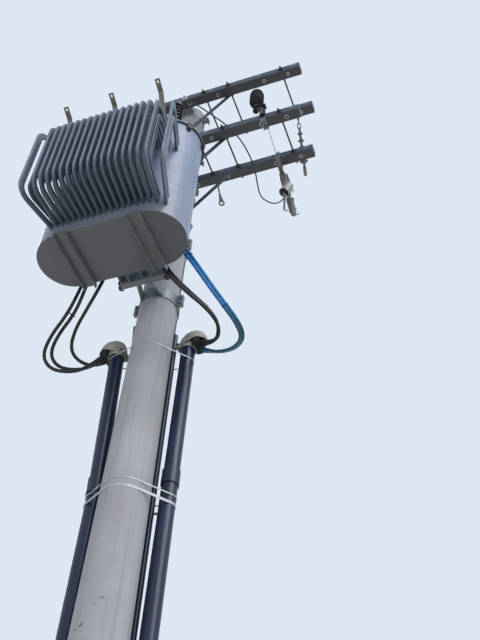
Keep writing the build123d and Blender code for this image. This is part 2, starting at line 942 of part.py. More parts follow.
# Brackets that hang the tank: pole band with ears, gusset plates and a cross channel at two levels
channel_y = -channel_out
channel_back_y = channel_y + channel_depth
for tag, level_z in zip(("lower", "upper"), hanger_levels):
    band_r = pole_radius(level_z) + hanger_band_t
    with BuildPart() as hanger_bracket:
        with BuildSketch(Plane.XY.offset(level_z - hanger_band_height / 2)):
            Circle(band_r)
            with Locations((-band_r - band_ear / 2 + band_t, 0), (band_r + band_ear / 2 - band_t, 0)):
                Rectangle(band_ear, band_ear_t)
        extrude(amount=hanger_band_height)
        with BuildSketch(Plane.XY.offset(level_z - gusset_height / 2)):
            with BuildLine():
                Polyline(
                    (-gusset_foot_x, 0),
                    (-gusset_x, channel_back_y),
                    (-gusset_x + gusset_t, channel_back_y),
                    (-gusset_foot_x + gusset_t, 0),
                    close=True,
                )
            make_face()
            mirror(about=Plane.YZ)
        extrude(amount=gusset_height)
        add(pole_space.part, mode=Mode.SUBTRACT)
    save(hanger_bracket, f"hanger_bracket_{tag}")
with BuildPart() as hanger_channels:
    for level_z in hanger_levels:
        with BuildSketch(Plane.YZ.offset(-channel_length / 2)):
            with Locations((channel_y, level_z)):
                Rectangle(channel_depth, channel_height, align=(Align.MIN, Align.CENTER))
            with Locations((channel_y + channel_wall, level_z)):
                Rectangle(
                    channel_depth,
                    channel_height - 2 * channel_wall,
                    align=(Align.MIN, Align.CENTER),
                    mode=Mode.SUBTRACT,
                )
        extrude(amount=channel_length)
        with BuildSketch(Plane.XY.offset(level_z - channel_height / 2 + channel_wall)):
            for side in both_sides:
                with Locations((side * (gusset_x - gusset_t / 2), channel_y + channel_wall)):
                    Rectangle(gusset_t, channel_depth - channel_wall, align=(Align.CENTER, Align.MIN))
        extrude(amount=channel_height - 2 * channel_wall)
save(hanger_channels, "hanger_channels")

# Lugs welded to the back wall, each a folded plate whose face lies against its channel
lug_reach = channel_y - tank_back_y
with BuildPart() as hanger_lugs:
    for level_z in hanger_levels:
        for side in both_sides:
            lug_x = tank_x + side * lug_spread / 2
            with BuildSketch(Plane.XY.offset(level_z - lug_height / 2)):
                with Locations((lug_x, tank_back_y)):
                    Rectangle(lug_width, lug_reach, align=(Align.CENTER, Align.MIN))
                    Rectangle(
                        lug_width - 2 * lug_t,
                        lug_reach - lug_t,
                        align=(Align.CENTER, Align.MIN),
                        mode=Mode.SUBTRACT,
                    )
            extrude(amount=lug_height)
save(hanger_lugs, "hanger_lugs")


def pipe(start, end, d, bore):
    """A straight pipe between two points, open at both ends."""
    run = end - start
    with BuildPart() as tube:
        with BuildSketch(Plane(origin=start, x_dir=run.cross(Vector(0, 1, 0)), z_dir=run)):
            Circle(d / 2)
            if bore > 0:
                Circle(bore / 2, mode=Mode.SUBTRACT)
        extrude(amount=run.length)
    return tube.part


# Conduits from the ground up both sides of the pole, joined by bell couplings
conduit_bore = conduit_d - 2 * conduit_wall
left_foot = Vector(*conduit_left_foot, 0)
left_joint = Vector(*conduit_left_joint, conduit_joint_z)
left_head = Vector(*conduit_left_head, conduit_left_top)
left_below = left_foot - (left_joint - left_foot).normalized() * conduit_wall
right_foot = Vector(*conduit_right_place, 0)
right_joint = Vector(*conduit_right_place, conduit_joint_z + coupling_right_rise)
right_head = Vector(*conduit_right_place, conduit_right_top)
left_upper_run = (left_head - left_joint).normalized()
left_pipes = [
    pipe(left_below, left_joint, conduit_d, conduit_bore),
    pipe(left_joint + left_upper_run * joint_room, left_head, conduit_d, conduit_bore),
]
right_pipes = [
    pipe(right_foot, right_joint, conduit_d, conduit_bore),
    pipe(right_joint + Vector(0, 0, joint_room), right_head, conduit_d, conduit_bore),
]
with BuildPart() as conduit_left:
    add(left_pipes)
    split(bisect_by=Plane.XY, keep=Keep.TOP)
save(conduit_left, "conduit_left")
with BuildPart() as conduit_right:
    add(right_pipes)
save(conduit_right, "conduit_right")

# Bell ends that close over the joints
coupling_bore = conduit_d + 2 * seat_gap
bells = [
    pipe(left_joint, left_joint + left_upper_run * coupling_length, coupling_d, coupling_bore),
    pipe(right_joint, right_joint + Vector(0, 0, coupling_length), coupling_d, coupling_bore),
]
with BuildPart() as conduit_couplings:
    add(bells)
save(conduit_couplings, "conduit_couplings")

small_start = Vector(*small_tube_foot, small_tube_lift)
small_end = Vector(*small_tube_head, small_tube_top)
small_pipe = pipe(small_start, small_end, small_tube_d, 0)
with BuildPart() as ground_wire_tube:
    add(small_pipe)
save(ground_wire_tube, "ground_wire_tube")

# Weatherheads: a collar on the conduit under a domed hood whose mouth looks out and down
left_lift = conduit_d / 2 * math.sin(math.radians(left_upper_run.get_angle(Vector(0, 0, 1)))) + seat_gap
for tag, head, side, hood_lift in (("left", left_head, -1, left_lift), ("right", right_head, 1, 0)):
    with BuildPart() as weatherhead:
        with BuildSketch(Plane.XZ.offset(-head.Y - hood_width / 2)):
            with BuildLine():
                Polyline(
                    (head.X + side * hood_mouth_in, head.Z + hood_lift),
                    (head.X - side * hood_back, head.Z + hood_lift),
                    (head.X - side * hood_back, head.Z + hood_shoulder),
                )
                ThreePointArc(
                    (head.X - side * hood_back, head.Z + hood_shoulder),
                    (head.X + side * hood_crown, head.Z + hood_height),
                    (head.X + side * hood_out, head.Z + hood_lip_top),
                )
                Polyline(
                    (head.X + side * hood_out, head.Z + hood_lip_top),
                    (head.X + side * (hood_out - hood_lip_in), head.Z - hood_lip_drop),
                    (head.X + side * hood_mouth_in, head.Z + hood_lift),
                )
            make_face()
        extrude(amount=hood_width)
        with BuildSketch(Plane.XY.offset(head.Z - hood_height)):
            with Locations((head.X + side * (hood_out - hood_back) / 2, head.Y)):
                SlotOverall(hood_out + hood_back, hood_width)
        extrude(amount=3 * hood_height, mode=Mode.INTERSECT)
    save(weatherhead, f"weatherhead_{tag}")

# Straps pulled tight round the pole and both conduits
for tag, (strap_z, strap_width) in zip(("upper", "middle", "lower"), strap_levels):
    up_left = (strap_z - conduit_joint_z) / (conduit_left_top - conduit_joint_z)
    if strap_z > conduit_joint_z:
        left_spot = left_joint + (left_head - left_joint) * up_left
    else:
        left_spot = left_foot + (left_joint - left_foot) * (strap_z / conduit_joint_z)
    hulls = []
    for grow in (0, strap_t):
        with BuildSketch(Plane.XY.offset(strap_z - strap_width / 2)) as strap_outline:
            Circle(pole_radius(strap_z - strap_width) + seat_gap + grow)
            with Locations((left_spot.X, left_spot.Y), conduit_right_place):
                Circle(conduit_d / 2 + strap_slack + grow)
            make_hull()
        hulls.append(strap_outline.sketch)
    with BuildPart() as strap_band:
        with BuildSketch(Plane.XY.offset(strap_z - strap_width / 2)):
            add(hulls[1])
            add(hulls[0], mode=Mode.SUBTRACT)
        extrude(amount=strap_width)
    save(strap_band, f"conduit_strap_{tag}")


def cable(points, d):
    """A round cable along straight runs joined by arcs as large as the runs allow."""
    knots = [Vector(*p) for p in points]
    radii = []
    for before, here, after in zip(knots, knots[1:], knots[2:]):
        turn = math.radians((here - before).get_angle(after - here))
        shorter = min((here - before).length, (after - here).length)
        radii.append(0.45 * shorter / math.tan(turn / 2))
    print("smallest arc", round(min(radii)), "mm on a cable of", d, "mm")
    with BuildPart() as body:
        with BuildLine() as path:
            FilletPolyline(*knots, radius=radii)
        with BuildSketch(Plane(origin=path.line @ 0, z_dir=path.line % 0)):
            Circle(d / 2)
        sweep()
    run_length = sum(edge.length for edge in path.edges())
    straight_volume = run_length * math.pi * d * d / 4
    print("length", round(run_length), "volume share", round(body.part.volume / straight_volume, 4))
    return body.part


for route_name, (route, route_d) in cable_routes.items():
    cable_body = cable(route, route_d)
    with BuildPart() as cable_run:
        add(cable_body)
    save(cable_run, route_name)
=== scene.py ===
"""Looks of the pole mounted transformer: materials, cables and the fine pieces round the fixed model.

Metres, in the model's own frame: +Z up the pole, +X along the crossarms, -Y to the side of the tank.
"""

import math

import bmesh
import bpy
from mathutils import Matrix, Vector


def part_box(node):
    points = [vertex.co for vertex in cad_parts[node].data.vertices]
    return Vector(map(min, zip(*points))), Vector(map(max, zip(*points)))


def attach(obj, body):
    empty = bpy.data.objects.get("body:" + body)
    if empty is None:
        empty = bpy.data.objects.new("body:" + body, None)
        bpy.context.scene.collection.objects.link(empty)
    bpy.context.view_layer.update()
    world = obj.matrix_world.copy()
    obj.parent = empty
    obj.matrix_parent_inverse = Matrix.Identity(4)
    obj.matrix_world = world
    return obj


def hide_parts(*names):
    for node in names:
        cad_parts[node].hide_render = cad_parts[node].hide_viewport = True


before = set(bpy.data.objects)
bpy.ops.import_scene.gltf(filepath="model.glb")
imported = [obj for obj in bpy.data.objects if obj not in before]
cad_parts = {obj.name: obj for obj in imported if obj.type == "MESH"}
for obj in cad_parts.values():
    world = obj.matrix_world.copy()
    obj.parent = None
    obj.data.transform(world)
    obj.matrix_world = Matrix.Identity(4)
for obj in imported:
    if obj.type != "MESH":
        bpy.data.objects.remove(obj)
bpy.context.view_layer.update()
scene = bpy.context.scene

# Camera, at the photograph's viewing angle
camera_place = Vector((2.4863, -4.2093, 1.5568))
camera_azimuth = math.radians(22.99)
camera_pitch = math.radians(48.43)
camera_roll = math.radians(4.503)
camera_lens = 52.56
camera_sensor = 36.0

sideways = Vector((math.cos(camera_azimuth), math.sin(camera_azimuth), 0))
ahead = Vector((-math.sin(camera_azimuth), math.cos(camera_azimuth), 0))
forward = ahead * math.cos(camera_pitch) + Vector((0, 0, math.sin(camera_pitch)))
upward = sideways.cross(forward)
rolled_side = math.cos(camera_roll) * sideways + math.sin(camera_roll) * upward
rolled_up = math.cos(camera_roll) * upward - math.sin(camera_roll) * sideways
camera_data = bpy.data.cameras.new("camera")
camera_data.lens = camera_lens
camera_data.sensor_width = camera_sensor
camera_data.sensor_fit = "AUTO"
camera = bpy.data.objects.new("camera", camera_data)
turn = Matrix((rolled_side, rolled_up, -forward)).transposed().to_4x4()
camera.matrix_world = Matrix.Translation(camera_place) @ turn
scene.collection.objects.link(camera)
scene.camera = camera


def tone(code):
    """Turn a written colour into the linear values that a shader takes."""
    parts = [int(code[i : i + 2], 16) / 255 for i in (0, 2, 4)]
    linear = [p / 12.92 if p <= 0.04045 else ((p + 0.055) / 1.055) ** 2.4 for p in parts]
    return (*linear, 1.0)


def add_node(tree, kind, inputs, output=0, **settings):
    """Add a node, fill its inputs with links, colours or plain values and hand back one output."""
    made = tree.nodes.new("ShaderNode" + kind)
    for setting, value in settings.items():
        setattr(made, setting, value)
    for socket, value in inputs.items():
        if isinstance(value, bpy.types.NodeSocket):
            tree.links.new(value, made.inputs[socket])
        else:
            made.inputs[socket].default_value = tone(value) if isinstance(value, str) else value
    return made.outputs[output]


class Look:
    """A material whose colour, roughness and relief come from nodes in the object's own coordinates."""

    def __init__(self, name, metallic=0.0, roughness=0.5, coat=0.0):
        self.material = bpy.data.materials.new(name)
        self.material.use_nodes = True
        self.tree = self.material.node_tree
        self.shader = self.tree.nodes["Principled BSDF"]
        self.shader.inputs["Metallic"].default_value = metallic
        self.shader.inputs["Roughness"].default_value = roughness
        self.shader.inputs["Coat Weight"].default_value = coat
        self.place = self.node("TexCoord", {}, "Object")

    def node(self, kind, inputs, output=0, **settings):
        return add_node(self.tree, kind, inputs, output, **settings)

    def noise(self, scale, detail=4.0, stretch=(1, 1, 1), distortion=0.0):
        spot = self.node("Mapping", {"Vector": self.place, "Scale": stretch})
        inputs = {"Vector": spot, "Scale": scale, "Detail": detail, "Distortion": distortion}
        return self.node("TexNoise", inputs, "Fac")

    def cells(self, scale):
        colour = self.node("TexVoronoi", {"Vector": self.place, "Scale": scale}, "Color")
        return self.node("SeparateColor", {"Color": colour}, "Red")

    def between(self, value, low, high, first=0.0, last=1.0):
        """Carry a value over from one range to another."""
        inputs = {"Value": value, "From Min": low, "From Max": high, "To Min": first, "To Max": last}
        return self.node("MapRange", inputs, "Result")

    def patches(self, scale, detail, low, high, first=0.0, last=1.0, **more):
        """Noise, with a range of it carried over to another."""
        return self.between(self.noise(scale, detail, **more), low, high, first, last)

    def sum(self, operation, first, second):
        return self.node("Math", {0: first, 1: second}, operation=operation)

    def times(self, first, second):
        return self.sum("MULTIPLY", first, second)

    def rest(self, share):
        """What a share leaves of the whole."""
        return self.sum("SUBTRACT", 1.0, share)

    def mix(self, share, first, second):
        return self.node("Mix", {0: share, 6: first, 7: second}, 2, data_type="RGBA")

    def over(self, colour, share, strength, second):
        """Lay a second colour over the first where a share says, at some strength."""
        return self.mix(self.times(share, strength), colour, second)

    def facing(self, direction, low, high):
        """How far the surface faces a direction, from none at low to all at high."""
        inputs = {0: self.node("NewGeometry", {}, "Normal"), 1: direction}
        return self.between(self.node("VectorMath", inputs, "Value", operation="DOT_PRODUCT"), low, high)

    def height(self, low, high, way="Z"):
        """How far up the object a point is, or along another way, from none at low to all at high."""
        return self.between(self.node("SeparateXYZ", {"Vector": self.place}, way), low, high)

    def relief(self, value, strength, distance):
        inputs = {"Strength": strength, "Distance": distance, "Height": value}
        self.tree.links.new(self.node("Bump", inputs, "Normal"), self.shader.inputs["Normal"])

    def finish(self, colour, roughness=None):
        self.tree.links.new(colour, self.shader.inputs["Base Color"])
        if roughness is not None:
            self.tree.links.new(roughness, self.shader.inputs["Roughness"])
        return self.material


down = (0, 0, -1)
up = (0, 0, 1)


def make_concrete():
    look = Look("pole_concrete", roughness=0.8)
    colour = look.mix(look.patches(2.2, 3, 0.35, 0.7), "a5a6ad", "b5b6bc")
    streak = look.patches(26, 6, 0.5, 0.75, stretch=(1, 1, 0.025))
    colour = look.over(colour, streak, 0.45, "8f8e92")
    mould = look.patches(60, 2, 0.66, 0.72, stretch=(1, 1, 0.012))
    colour = look.over(colour, mould, 0.35, "7d7b7e")
    scuff = look.patches(16, 8, 0.62, 0.70, stretch=(1, 1, 0.7), distortion=0.8)
    band = look.times(look.height(2.55, 2.9), look.rest(look.height(4.3, 4.7)))
    side = look.facing((-0.1, -1, 0), 0.55, 0.8)
    colour = look.over(colour, look.times(look.times(scuff, band), side), 0.8, "66625e")
    colour = look.over(colour, look.patches(5, 5, 0.5, 0.8, stretch=(1, 1, 0.2)), 0.3, "a09a90")
    pores = look.noise(170, 4)
    look.relief(look.sum("ADD", pores, look.times(streak, 0.6)), 0.35, 0.002)
    return look.finish(colour, look.between(pores, 0.3, 0.7, 0.72, 0.92))


def make_galvanised(name, base, dull, rust, rust_share, underside_shade):
    look = Look(name, metallic=0.45)
    colour = look.mix(look.between(look.cells(110), 0.0, 1.0), dull, base)
    colour = look.over(colour, look.patches(7, 5, 0.4, 0.7), 0.5, dull)
    rusty = look.patches(11, 7, 0.42, 0.66, stretch=(0.35, 1, 1), distortion=0.4)
    # Painted shade: faces that turn downwards take a darker underside colour, with rust laid over it
    below = look.facing(down, 0.3, 0.8)
    colour = look.over(colour, below, 0.75, underside_shade)
    colour = look.over(colour, rusty, look.between(below, 0, 1, rust_share * 0.25, rust_share), rust)
    grain = look.noise(240, 3)
    look.relief(grain, 0.2, 0.001)
    return look.finish(colour, look.between(grain, 0.3, 0.7, 0.42, 0.62))


def make_tank_paint(name, light, shade, underside_shade):
    look = Look(name, roughness=0.4, coat=0.12)
    colour = look.mix(look.patches(1.8, 4, 0.35, 0.7), shade, light)
    colour = look.over(colour, look.patches(30, 5, 0.52, 0.75, stretch=(1, 1, 0.05)), 0.22, "7c8086")
    dust = look.times(look.facing(up, 0.2, 0.9), look.patches(9, 6, 0.3, 0.7))
    colour = look.over(colour, dust, 0.7, "9c978c")
    # Darker band at the bottom of the front, below about 7.0 m under the roots of the cooling tubes
    low_front_darkening = look.times(look.rest(look.height(7.0, 7.1)), look.facing((0, -1, 0), 0.2, 0.8))
    colour = look.over(colour, low_front_darkening, 0.6, "77767a")
    # Painted shade: faces that turn downwards take the darker underside colour
    colour = look.over(colour, look.facing(down, 0.25, 0.85), 0.92, underside_shade)
    colour = look.over(colour, look.patches(90, 4, 0.68, 0.74), 0.35, "6a665f")
    look.relief(look.sum("ADD", look.noise(320, 2), look.times(look.noise(14, 2), 0.8)), 0.12, 0.0012)
    return look.finish(colour, look.patches(12, 5, 0.3, 0.7, 0.34, 0.52))


def make_glaze(name, dark, light, dust, roughness):
    look = Look(name, roughness=roughness, coat=0.3)
    colour = look.mix(look.patches(28, 4, 0.35, 0.65), dark, light)
    top = look.times(look.facing(up, 0.0, 0.8), look.patches(60, 5, 0.3, 0.6))
    look.relief(look.noise(120, 2), 0.08, 0.0008)
    return look.finish(look.over(colour, top, 0.6, dust), look.between(top, 0, 1, roughness, 0.6))


def make_plastic(name, deep, worn, dust, roughness):
    look = Look(name, roughness=roughness)
    colour = look.mix(look.patches(3, 4, 0.35, 0.7), deep, worn)
    drawn = look.patches(45, 4, 0.5, 0.8, stretch=(1, 1, 0.03))
    colour = look.over(colour, drawn, 0.3, dust)
    scratch = look.patches(34, 9, 0.66, 0.71, stretch=(1, 1, 0.3), distortion=1.2)
    colour = look.over(colour, look.times(scratch, look.rest(look.height(2.3, 3.6))), 0.55, "7f868f")
    look.relief(look.noise(85, 3, stretch=(1, 1, 0.2)), 0.1, 0.001)
    return look.finish(colour, look.between(drawn, 0, 1, roughness, roughness + 0.2))


def make_cast(name, light, dark):
    look = Look(name, metallic=0.4, roughness=0.6)
    colour = look.mix(look.patches(14, 6, 0.35, 0.68), dark, light)
    # Painted shade: faces that turn downwards are darkened
    colour = look.over(colour, look.facing(down, 0.0, 0.7), 0.6, "4e4c48")
    look.relief(look.noise(190, 4), 0.35, 0.0015)
    return look.finish(colour, look.patches(30, 3, 0.3, 0.7, 0.5, 0.75))


def make_sheath(name, deep, light, roughness):
    look = Look(name, roughness=roughness)
    colour = look.mix(look.patches(22, 4, 0.4, 0.7), deep, light)
    look.relief(look.noise(160, 2), 0.15, 0.0006)
    return look.finish(colour, look.patches(40, 3, 0.3, 0.7, roughness - 0.08, roughness + 0.12))


def make_blue_sheath():
    look = Look("blue_sheath", roughness=0.38)
    cloud = look.patches(20, 4, 0.4, 0.7)
    bright = look.mix(cloud, "0664a0", "0e7cc4")
    # Bright blue high on the front stretch, a duller darker teal lower down and towards the back
    low_back_blue = look.mix(cloud, "17485f", "24657c")
    upper = look.times(look.height(6.56, 6.64), look.rest(look.height(-0.12, -0.02, "Y")))
    look.relief(look.noise(160, 2), 0.15, 0.0006)
    return look.finish(look.mix(upper, low_back_blue, bright), look.patches(40, 3, 0.3, 0.7, 0.3, 0.5))


concrete = make_concrete()
galvanised = make_galvanised("galvanised_steel", "949ca6", "727a84", "6a5444", 0.4, "7c7c78")
# Crossarm steel: a darker, bluer copy of the galvanised steel, painted with the shade that falls on the arms
shaded_arm_steel = make_galvanised("crossarm_steel", "566375", "3d4959", "56423a", 0.45, "494642")
# Strap steel: paler than the other galvanised steel, a painted highlight along the straps
strap_steel = make_galvanised("strap_steel", "c3c8cd", "a0a7ae", "7a6a5c", 0.2, "9a9c9e")
dark_steel = make_galvanised("dark_steel", "4a4d50", "2c2e30", "4a382d", 0.6, "333231")
# Bright steel: a paler copy of the galvanised steel, painted light as if in sun
sunlit_steel = make_galvanised("sunlit_steel", "cdd2d6", "b0b6bb", "8a7a6c", 0.2, "bcbcb8")
cup_metal = make_galvanised("cup_metal", "a9aba8", "8c8e8c", "6a5648", 0.35, "7d7872")
bar_steel = make_galvanised("bar_steel", "8b877e", "6e6a62", "5d4a3c", 0.6, "75706a")
tank_paint = make_tank_paint("tank_paint", "99a8c2", "8593ae", "4d4c4a")
# Cooling tubes: the tank's paint in darker tones, painted with the shade among the tubes
shaded_tube_paint = make_tank_paint("shaded_tube_paint", "68778b", "57667b", "464b53")
rail_paint = make_tank_paint("rail_paint", "787e84", "686e74", "605f5f")
gasket = make_sheath("lid_gasket_rubber", "141416", "232426", 0.6)
porcelain = make_glaze("bushing_porcelain", "171313", "261d1b", "5a5550", 0.22)
grey_porcelain = make_glaze("cutout_porcelain", "56544b", "6f6c61", "96928a", 0.5)
polymer = make_sheath("arrester_polymer", "09090a", "121214", 0.8)
grey_polymer = make_sheath("string_polymer", "4b4e55", "666a72", 0.5)
navy_plastic = make_plastic("conduit_plastic", "041430", "081e46", "14284a", 0.32)
cast_metal = make_cast("weatherhead_metal", "b2b0a8", "908e86")
painted_mouth_shadow = make_sheath("mouth_shadow", "0c0c0d", "151516", 0.8)
black_sheath = make_sheath("black_sheath", "0b0c10", "17181d", 0.34)
blue_sheath = make_blue_sheath()
thin_sheath = make_sheath("lead_sheath", "1a1b1f", "2a2b30", 0.45)

finishes = {
    "pole": concrete, "crossarm": shaded_arm_steel, "upper_braces": shaded_arm_steel, "lower_braces": shaded_arm_steel,
    "tank": tank_paint, "base_rails": rail_paint, "outer_cooling_tubes": shaded_tube_paint,
    "inner_cooling_tubes": shaded_tube_paint, "lid_gasket": gasket, "hv_bushings": porcelain,
    "lv_bushings": grey_porcelain, "cutout_insulators": grey_porcelain, "arresters": polymer,
    "deadend_strings": grey_polymer, "conduit_strap": strap_steel, "conduit": navy_plastic,
    "ground_wire_tube": navy_plastic, "weatherhead": cast_metal, "upper_arm_tie_rods": dark_steel,
    "lower_arm_tie_rods": dark_steel, "arrester_bars": bar_steel,
}


def look_for(name):
    """The finish of each piece of the fixed model, by how its name begins."""
    for start, material in finishes.items():
        if name.startswith(start):
            return material
    return galvanised


for name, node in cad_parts.items():
    for slot in node.material_slots:
        slot.material = look_for(name)
    if not node.material_slots:
        node.data.materials.append(look_for(name))


def show(piece, material, replaced=()):
    """Put a finish on a piece, let it ride on the model and hide the fixed nodes it stands in for."""
    piece.data.materials.append(material)
    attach(piece, "root")
    if replaced:
        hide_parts(*replaced)
    return piece


def rope(name, points, diameter):
    """A smooth curve of round section that is drawn towards its points."""
    data = bpy.data.curves.new(name, "CURVE")
    data.dimensions = "3D"
    data.bevel_depth = diameter / 2
    data.bevel_resolution = 5
    data.use_fill_caps = True
    spline = data.splines.new("NURBS")
    spline.points.add(len(points) - 1)
    for knot, point in zip(spline.points, points):
        knot.co = (*point, 1.0)
    spline.order_u = 3
    spline.use_endpoint_u = True
    spline.resolution_u = 10
    piece = bpy.data.objects.new(name, data)
    scene.collection.objects.link(piece)
    return piece


# Cables and leads, along the same routes as in the model, with their lengths
low_cable_d = 0.027
lead_d = 0.012
cable_routes = {
    "black_cable_left_outer": (1.744, (
        (-0.454, -0.362, 7.552), (-0.458, -0.395, 7.37), (-0.448, -0.425, 7.16), (-0.452, -0.44, 6.96),
        (-0.54, -0.395, 6.76), (-0.69, -0.33, 6.64), (-0.785, -0.25, 6.53), (-0.735, -0.185, 6.43),
        (-0.6, -0.13, 6.41), (-0.47, -0.085, 6.46), (-0.372, -0.062, 6.588),
    )),
    "black_cable_left_middle": (1.616, (
        (-0.426, -0.362, 7.552), (-0.416, -0.395, 7.37), (-0.405, -0.425, 7.16), (-0.405, -0.438, 6.965),
        (-0.5, -0.36, 6.79), (-0.64, -0.29, 6.68), (-0.725, -0.215, 6.575), (-0.68, -0.145, 6.49),
        (-0.57, -0.09, 6.47), (-0.465, -0.045, 6.51), (-0.372, -0.026, 6.592),
    )),
    "black_cable_left_inner": (1.427, (
        (-0.246, -0.362, 7.552), (-0.252, -0.392, 7.37), (-0.262, -0.415, 7.16), (-0.3, -0.41, 6.98),
        (-0.42, -0.34, 6.83), (-0.54, -0.255, 6.72), (-0.6, -0.165, 6.62), (-0.55, -0.085, 6.555),
        (-0.455, -0.01, 6.55), (-0.372, 0.01, 6.594),
    )),
    "black_cable_right_outer": (1.521, (
        (0.146, -0.362, 7.552), (0.15, -0.395, 7.37), (0.165, -0.425, 7.16), (0.215, -0.44, 6.98),
        (0.305, -0.395, 6.85), (0.405, -0.31, 6.76), (0.5, -0.2, 6.7), (0.56, -0.07, 6.65),
        (0.53, 0.04, 6.62), (0.44, 0.076, 6.632), (0.344, 0.084, 6.678),
    )),
    "black_cable_right_inner": (1.435, (
        (0.174, -0.362, 7.552), (0.184, -0.395, 7.37), (0.205, -0.425, 7.18), (0.255, -0.43, 7.02),
        (0.335, -0.37, 6.895), (0.425, -0.28, 6.8), (0.505, -0.17, 6.74), (0.545, -0.05, 6.7),
        (0.51, 0.055, 6.655), (0.43, 0.112, 6.655), (0.344, 0.118, 6.678),
    )),
    "blue_cable_outer": (1.801, (
        (0.346, -0.362, 7.552), (0.352, -0.395, 7.37), (0.385, -0.43, 7.19), (0.445, -0.45, 7.05),
        (0.505, -0.425, 6.87), (0.59, -0.35, 6.71), (0.66, -0.25, 6.6), (0.715, -0.13, 6.53),
        (0.72, -0.01, 6.5), (0.64, 0.07, 6.51), (0.53, 0.12, 6.55), (0.43, 0.146, 6.605),
        (0.344, 0.15, 6.672),
    )),
    "blue_cable_inner": (1.776, (
        (0.374, -0.362, 7.552), (0.386, -0.395, 7.37), (0.42, -0.425, 7.2), (0.478, -0.435, 7.06),
        (0.54, -0.4, 6.89), (0.62, -0.325, 6.745), (0.69, -0.225, 6.645), (0.745, -0.105, 6.575),
        (0.748, 0.015, 6.545), (0.67, 0.1, 6.54), (0.56, 0.155, 6.58), (0.455, 0.18, 6.63),
        (0.342, 0.182, 6.672),
    )),
}

# The leads share one bend: each point's share of the way along the crossarms, then its y and z
lead_bend = (
    (0.0, -0.89, 8.624), (0.1095, -0.876, 8.64), (0.2675, -0.83, 8.58), (0.4155, -0.76, 8.518),
    (0.6039, -0.65, 8.472), (0.7432, -0.52, 8.42), (0.8151, -0.38, 8.36), (0.8237, -0.24, 8.32),
    (0.7791, -0.11, 8.3), (0.752, 0.01, 8.305), (0.7966, 0.1, 8.345), (0.8689, 0.18, 8.4),
    (0.9557, 0.236, 8.49),
)
lead_end_y = 0.26
for place, length, start, end, foot in (
    ("right", 1.591, 0.379, 0.932, 8.5855),
    ("centre", 1.497, -0.054, -0.439, 8.5857),
    ("left", 1.544, -0.459, -0.932, 8.5856),
):
    route = [(round(start + (end - start) * share, 3), y, z) for share, y, z in lead_bend]
    cable_routes["bushing_lead_" + place] = (length, (*route, (end, lead_end_y, foot)))

# Cables that lie side by side, with the distance they are drawn to between their bound ends
cable_pairs = (
    ("black_cable_left_outer", "black_cable_left_middle", 0.06),
    ("black_cable_right_outer", "black_cable_right_inner", 0.029),
    ("blue_cable_outer", "blue_cable_inner", 0.029),
)
bound_from = 3
bound_to = -2


def gathered(route, partner, distance):
    """The points of a cable, its free stretch drawn up to a distance from the cable beside it."""
    points = [Vector(p) for p in route]
    others = [Vector(p) for p in partner]
    for i in range(bound_from, len(points) + bound_to):
        middle = (points[i] + others[i]) / 2
        apart = points[i] - middle
        if apart.length > distance / 2:
            points[i] = middle + apart.normalized() * distance / 2
    return [tuple(p) for p in points]


drawn_routes = {name: list(points) for name, (length, points) in cable_routes.items()}
behind_tank = ((1, 0.035), (2, 0.045), (3, 0.03))
for name in ("blue_cable_outer", "blue_cable_inner"):
    for i, shift in behind_tank:
        x, y, z = drawn_routes[name][i]
        drawn_routes[name][i] = (x - shift, y, z)
for first, second, distance in cable_pairs:
    first_route, second_route = drawn_routes[first], drawn_routes[second]
    drawn_routes[first] = gathered(first_route, second_route, distance)
    drawn_routes[second] = gathered(second_route, first_route, distance)

cable_kinds = {
    "black": (black_sheath, "cable_black", low_cable_d),
    "blue": (blue_sheath, "cable_blue", low_cable_d),
    "bushing": (thin_sheath, "lead", lead_d),
}
for name, (length, _) in cable_routes.items():
    points = drawn_routes[name]
    sheath, slot_name, thickness = cable_kinds[name.split("_")[0]]
    cable = show(rope(name + "_line", points, thickness), sheath, (name,))


def raised(height):
    """A step straight up, or down if it is below nothing."""
    return Vector((0, 0, height))


def ribbed(rib, start, pitch, count):
    """An outline that repeats one rib at a pitch."""
    return [(radius, start + i * pitch + z) for i in range(count) for radius, z in rib]


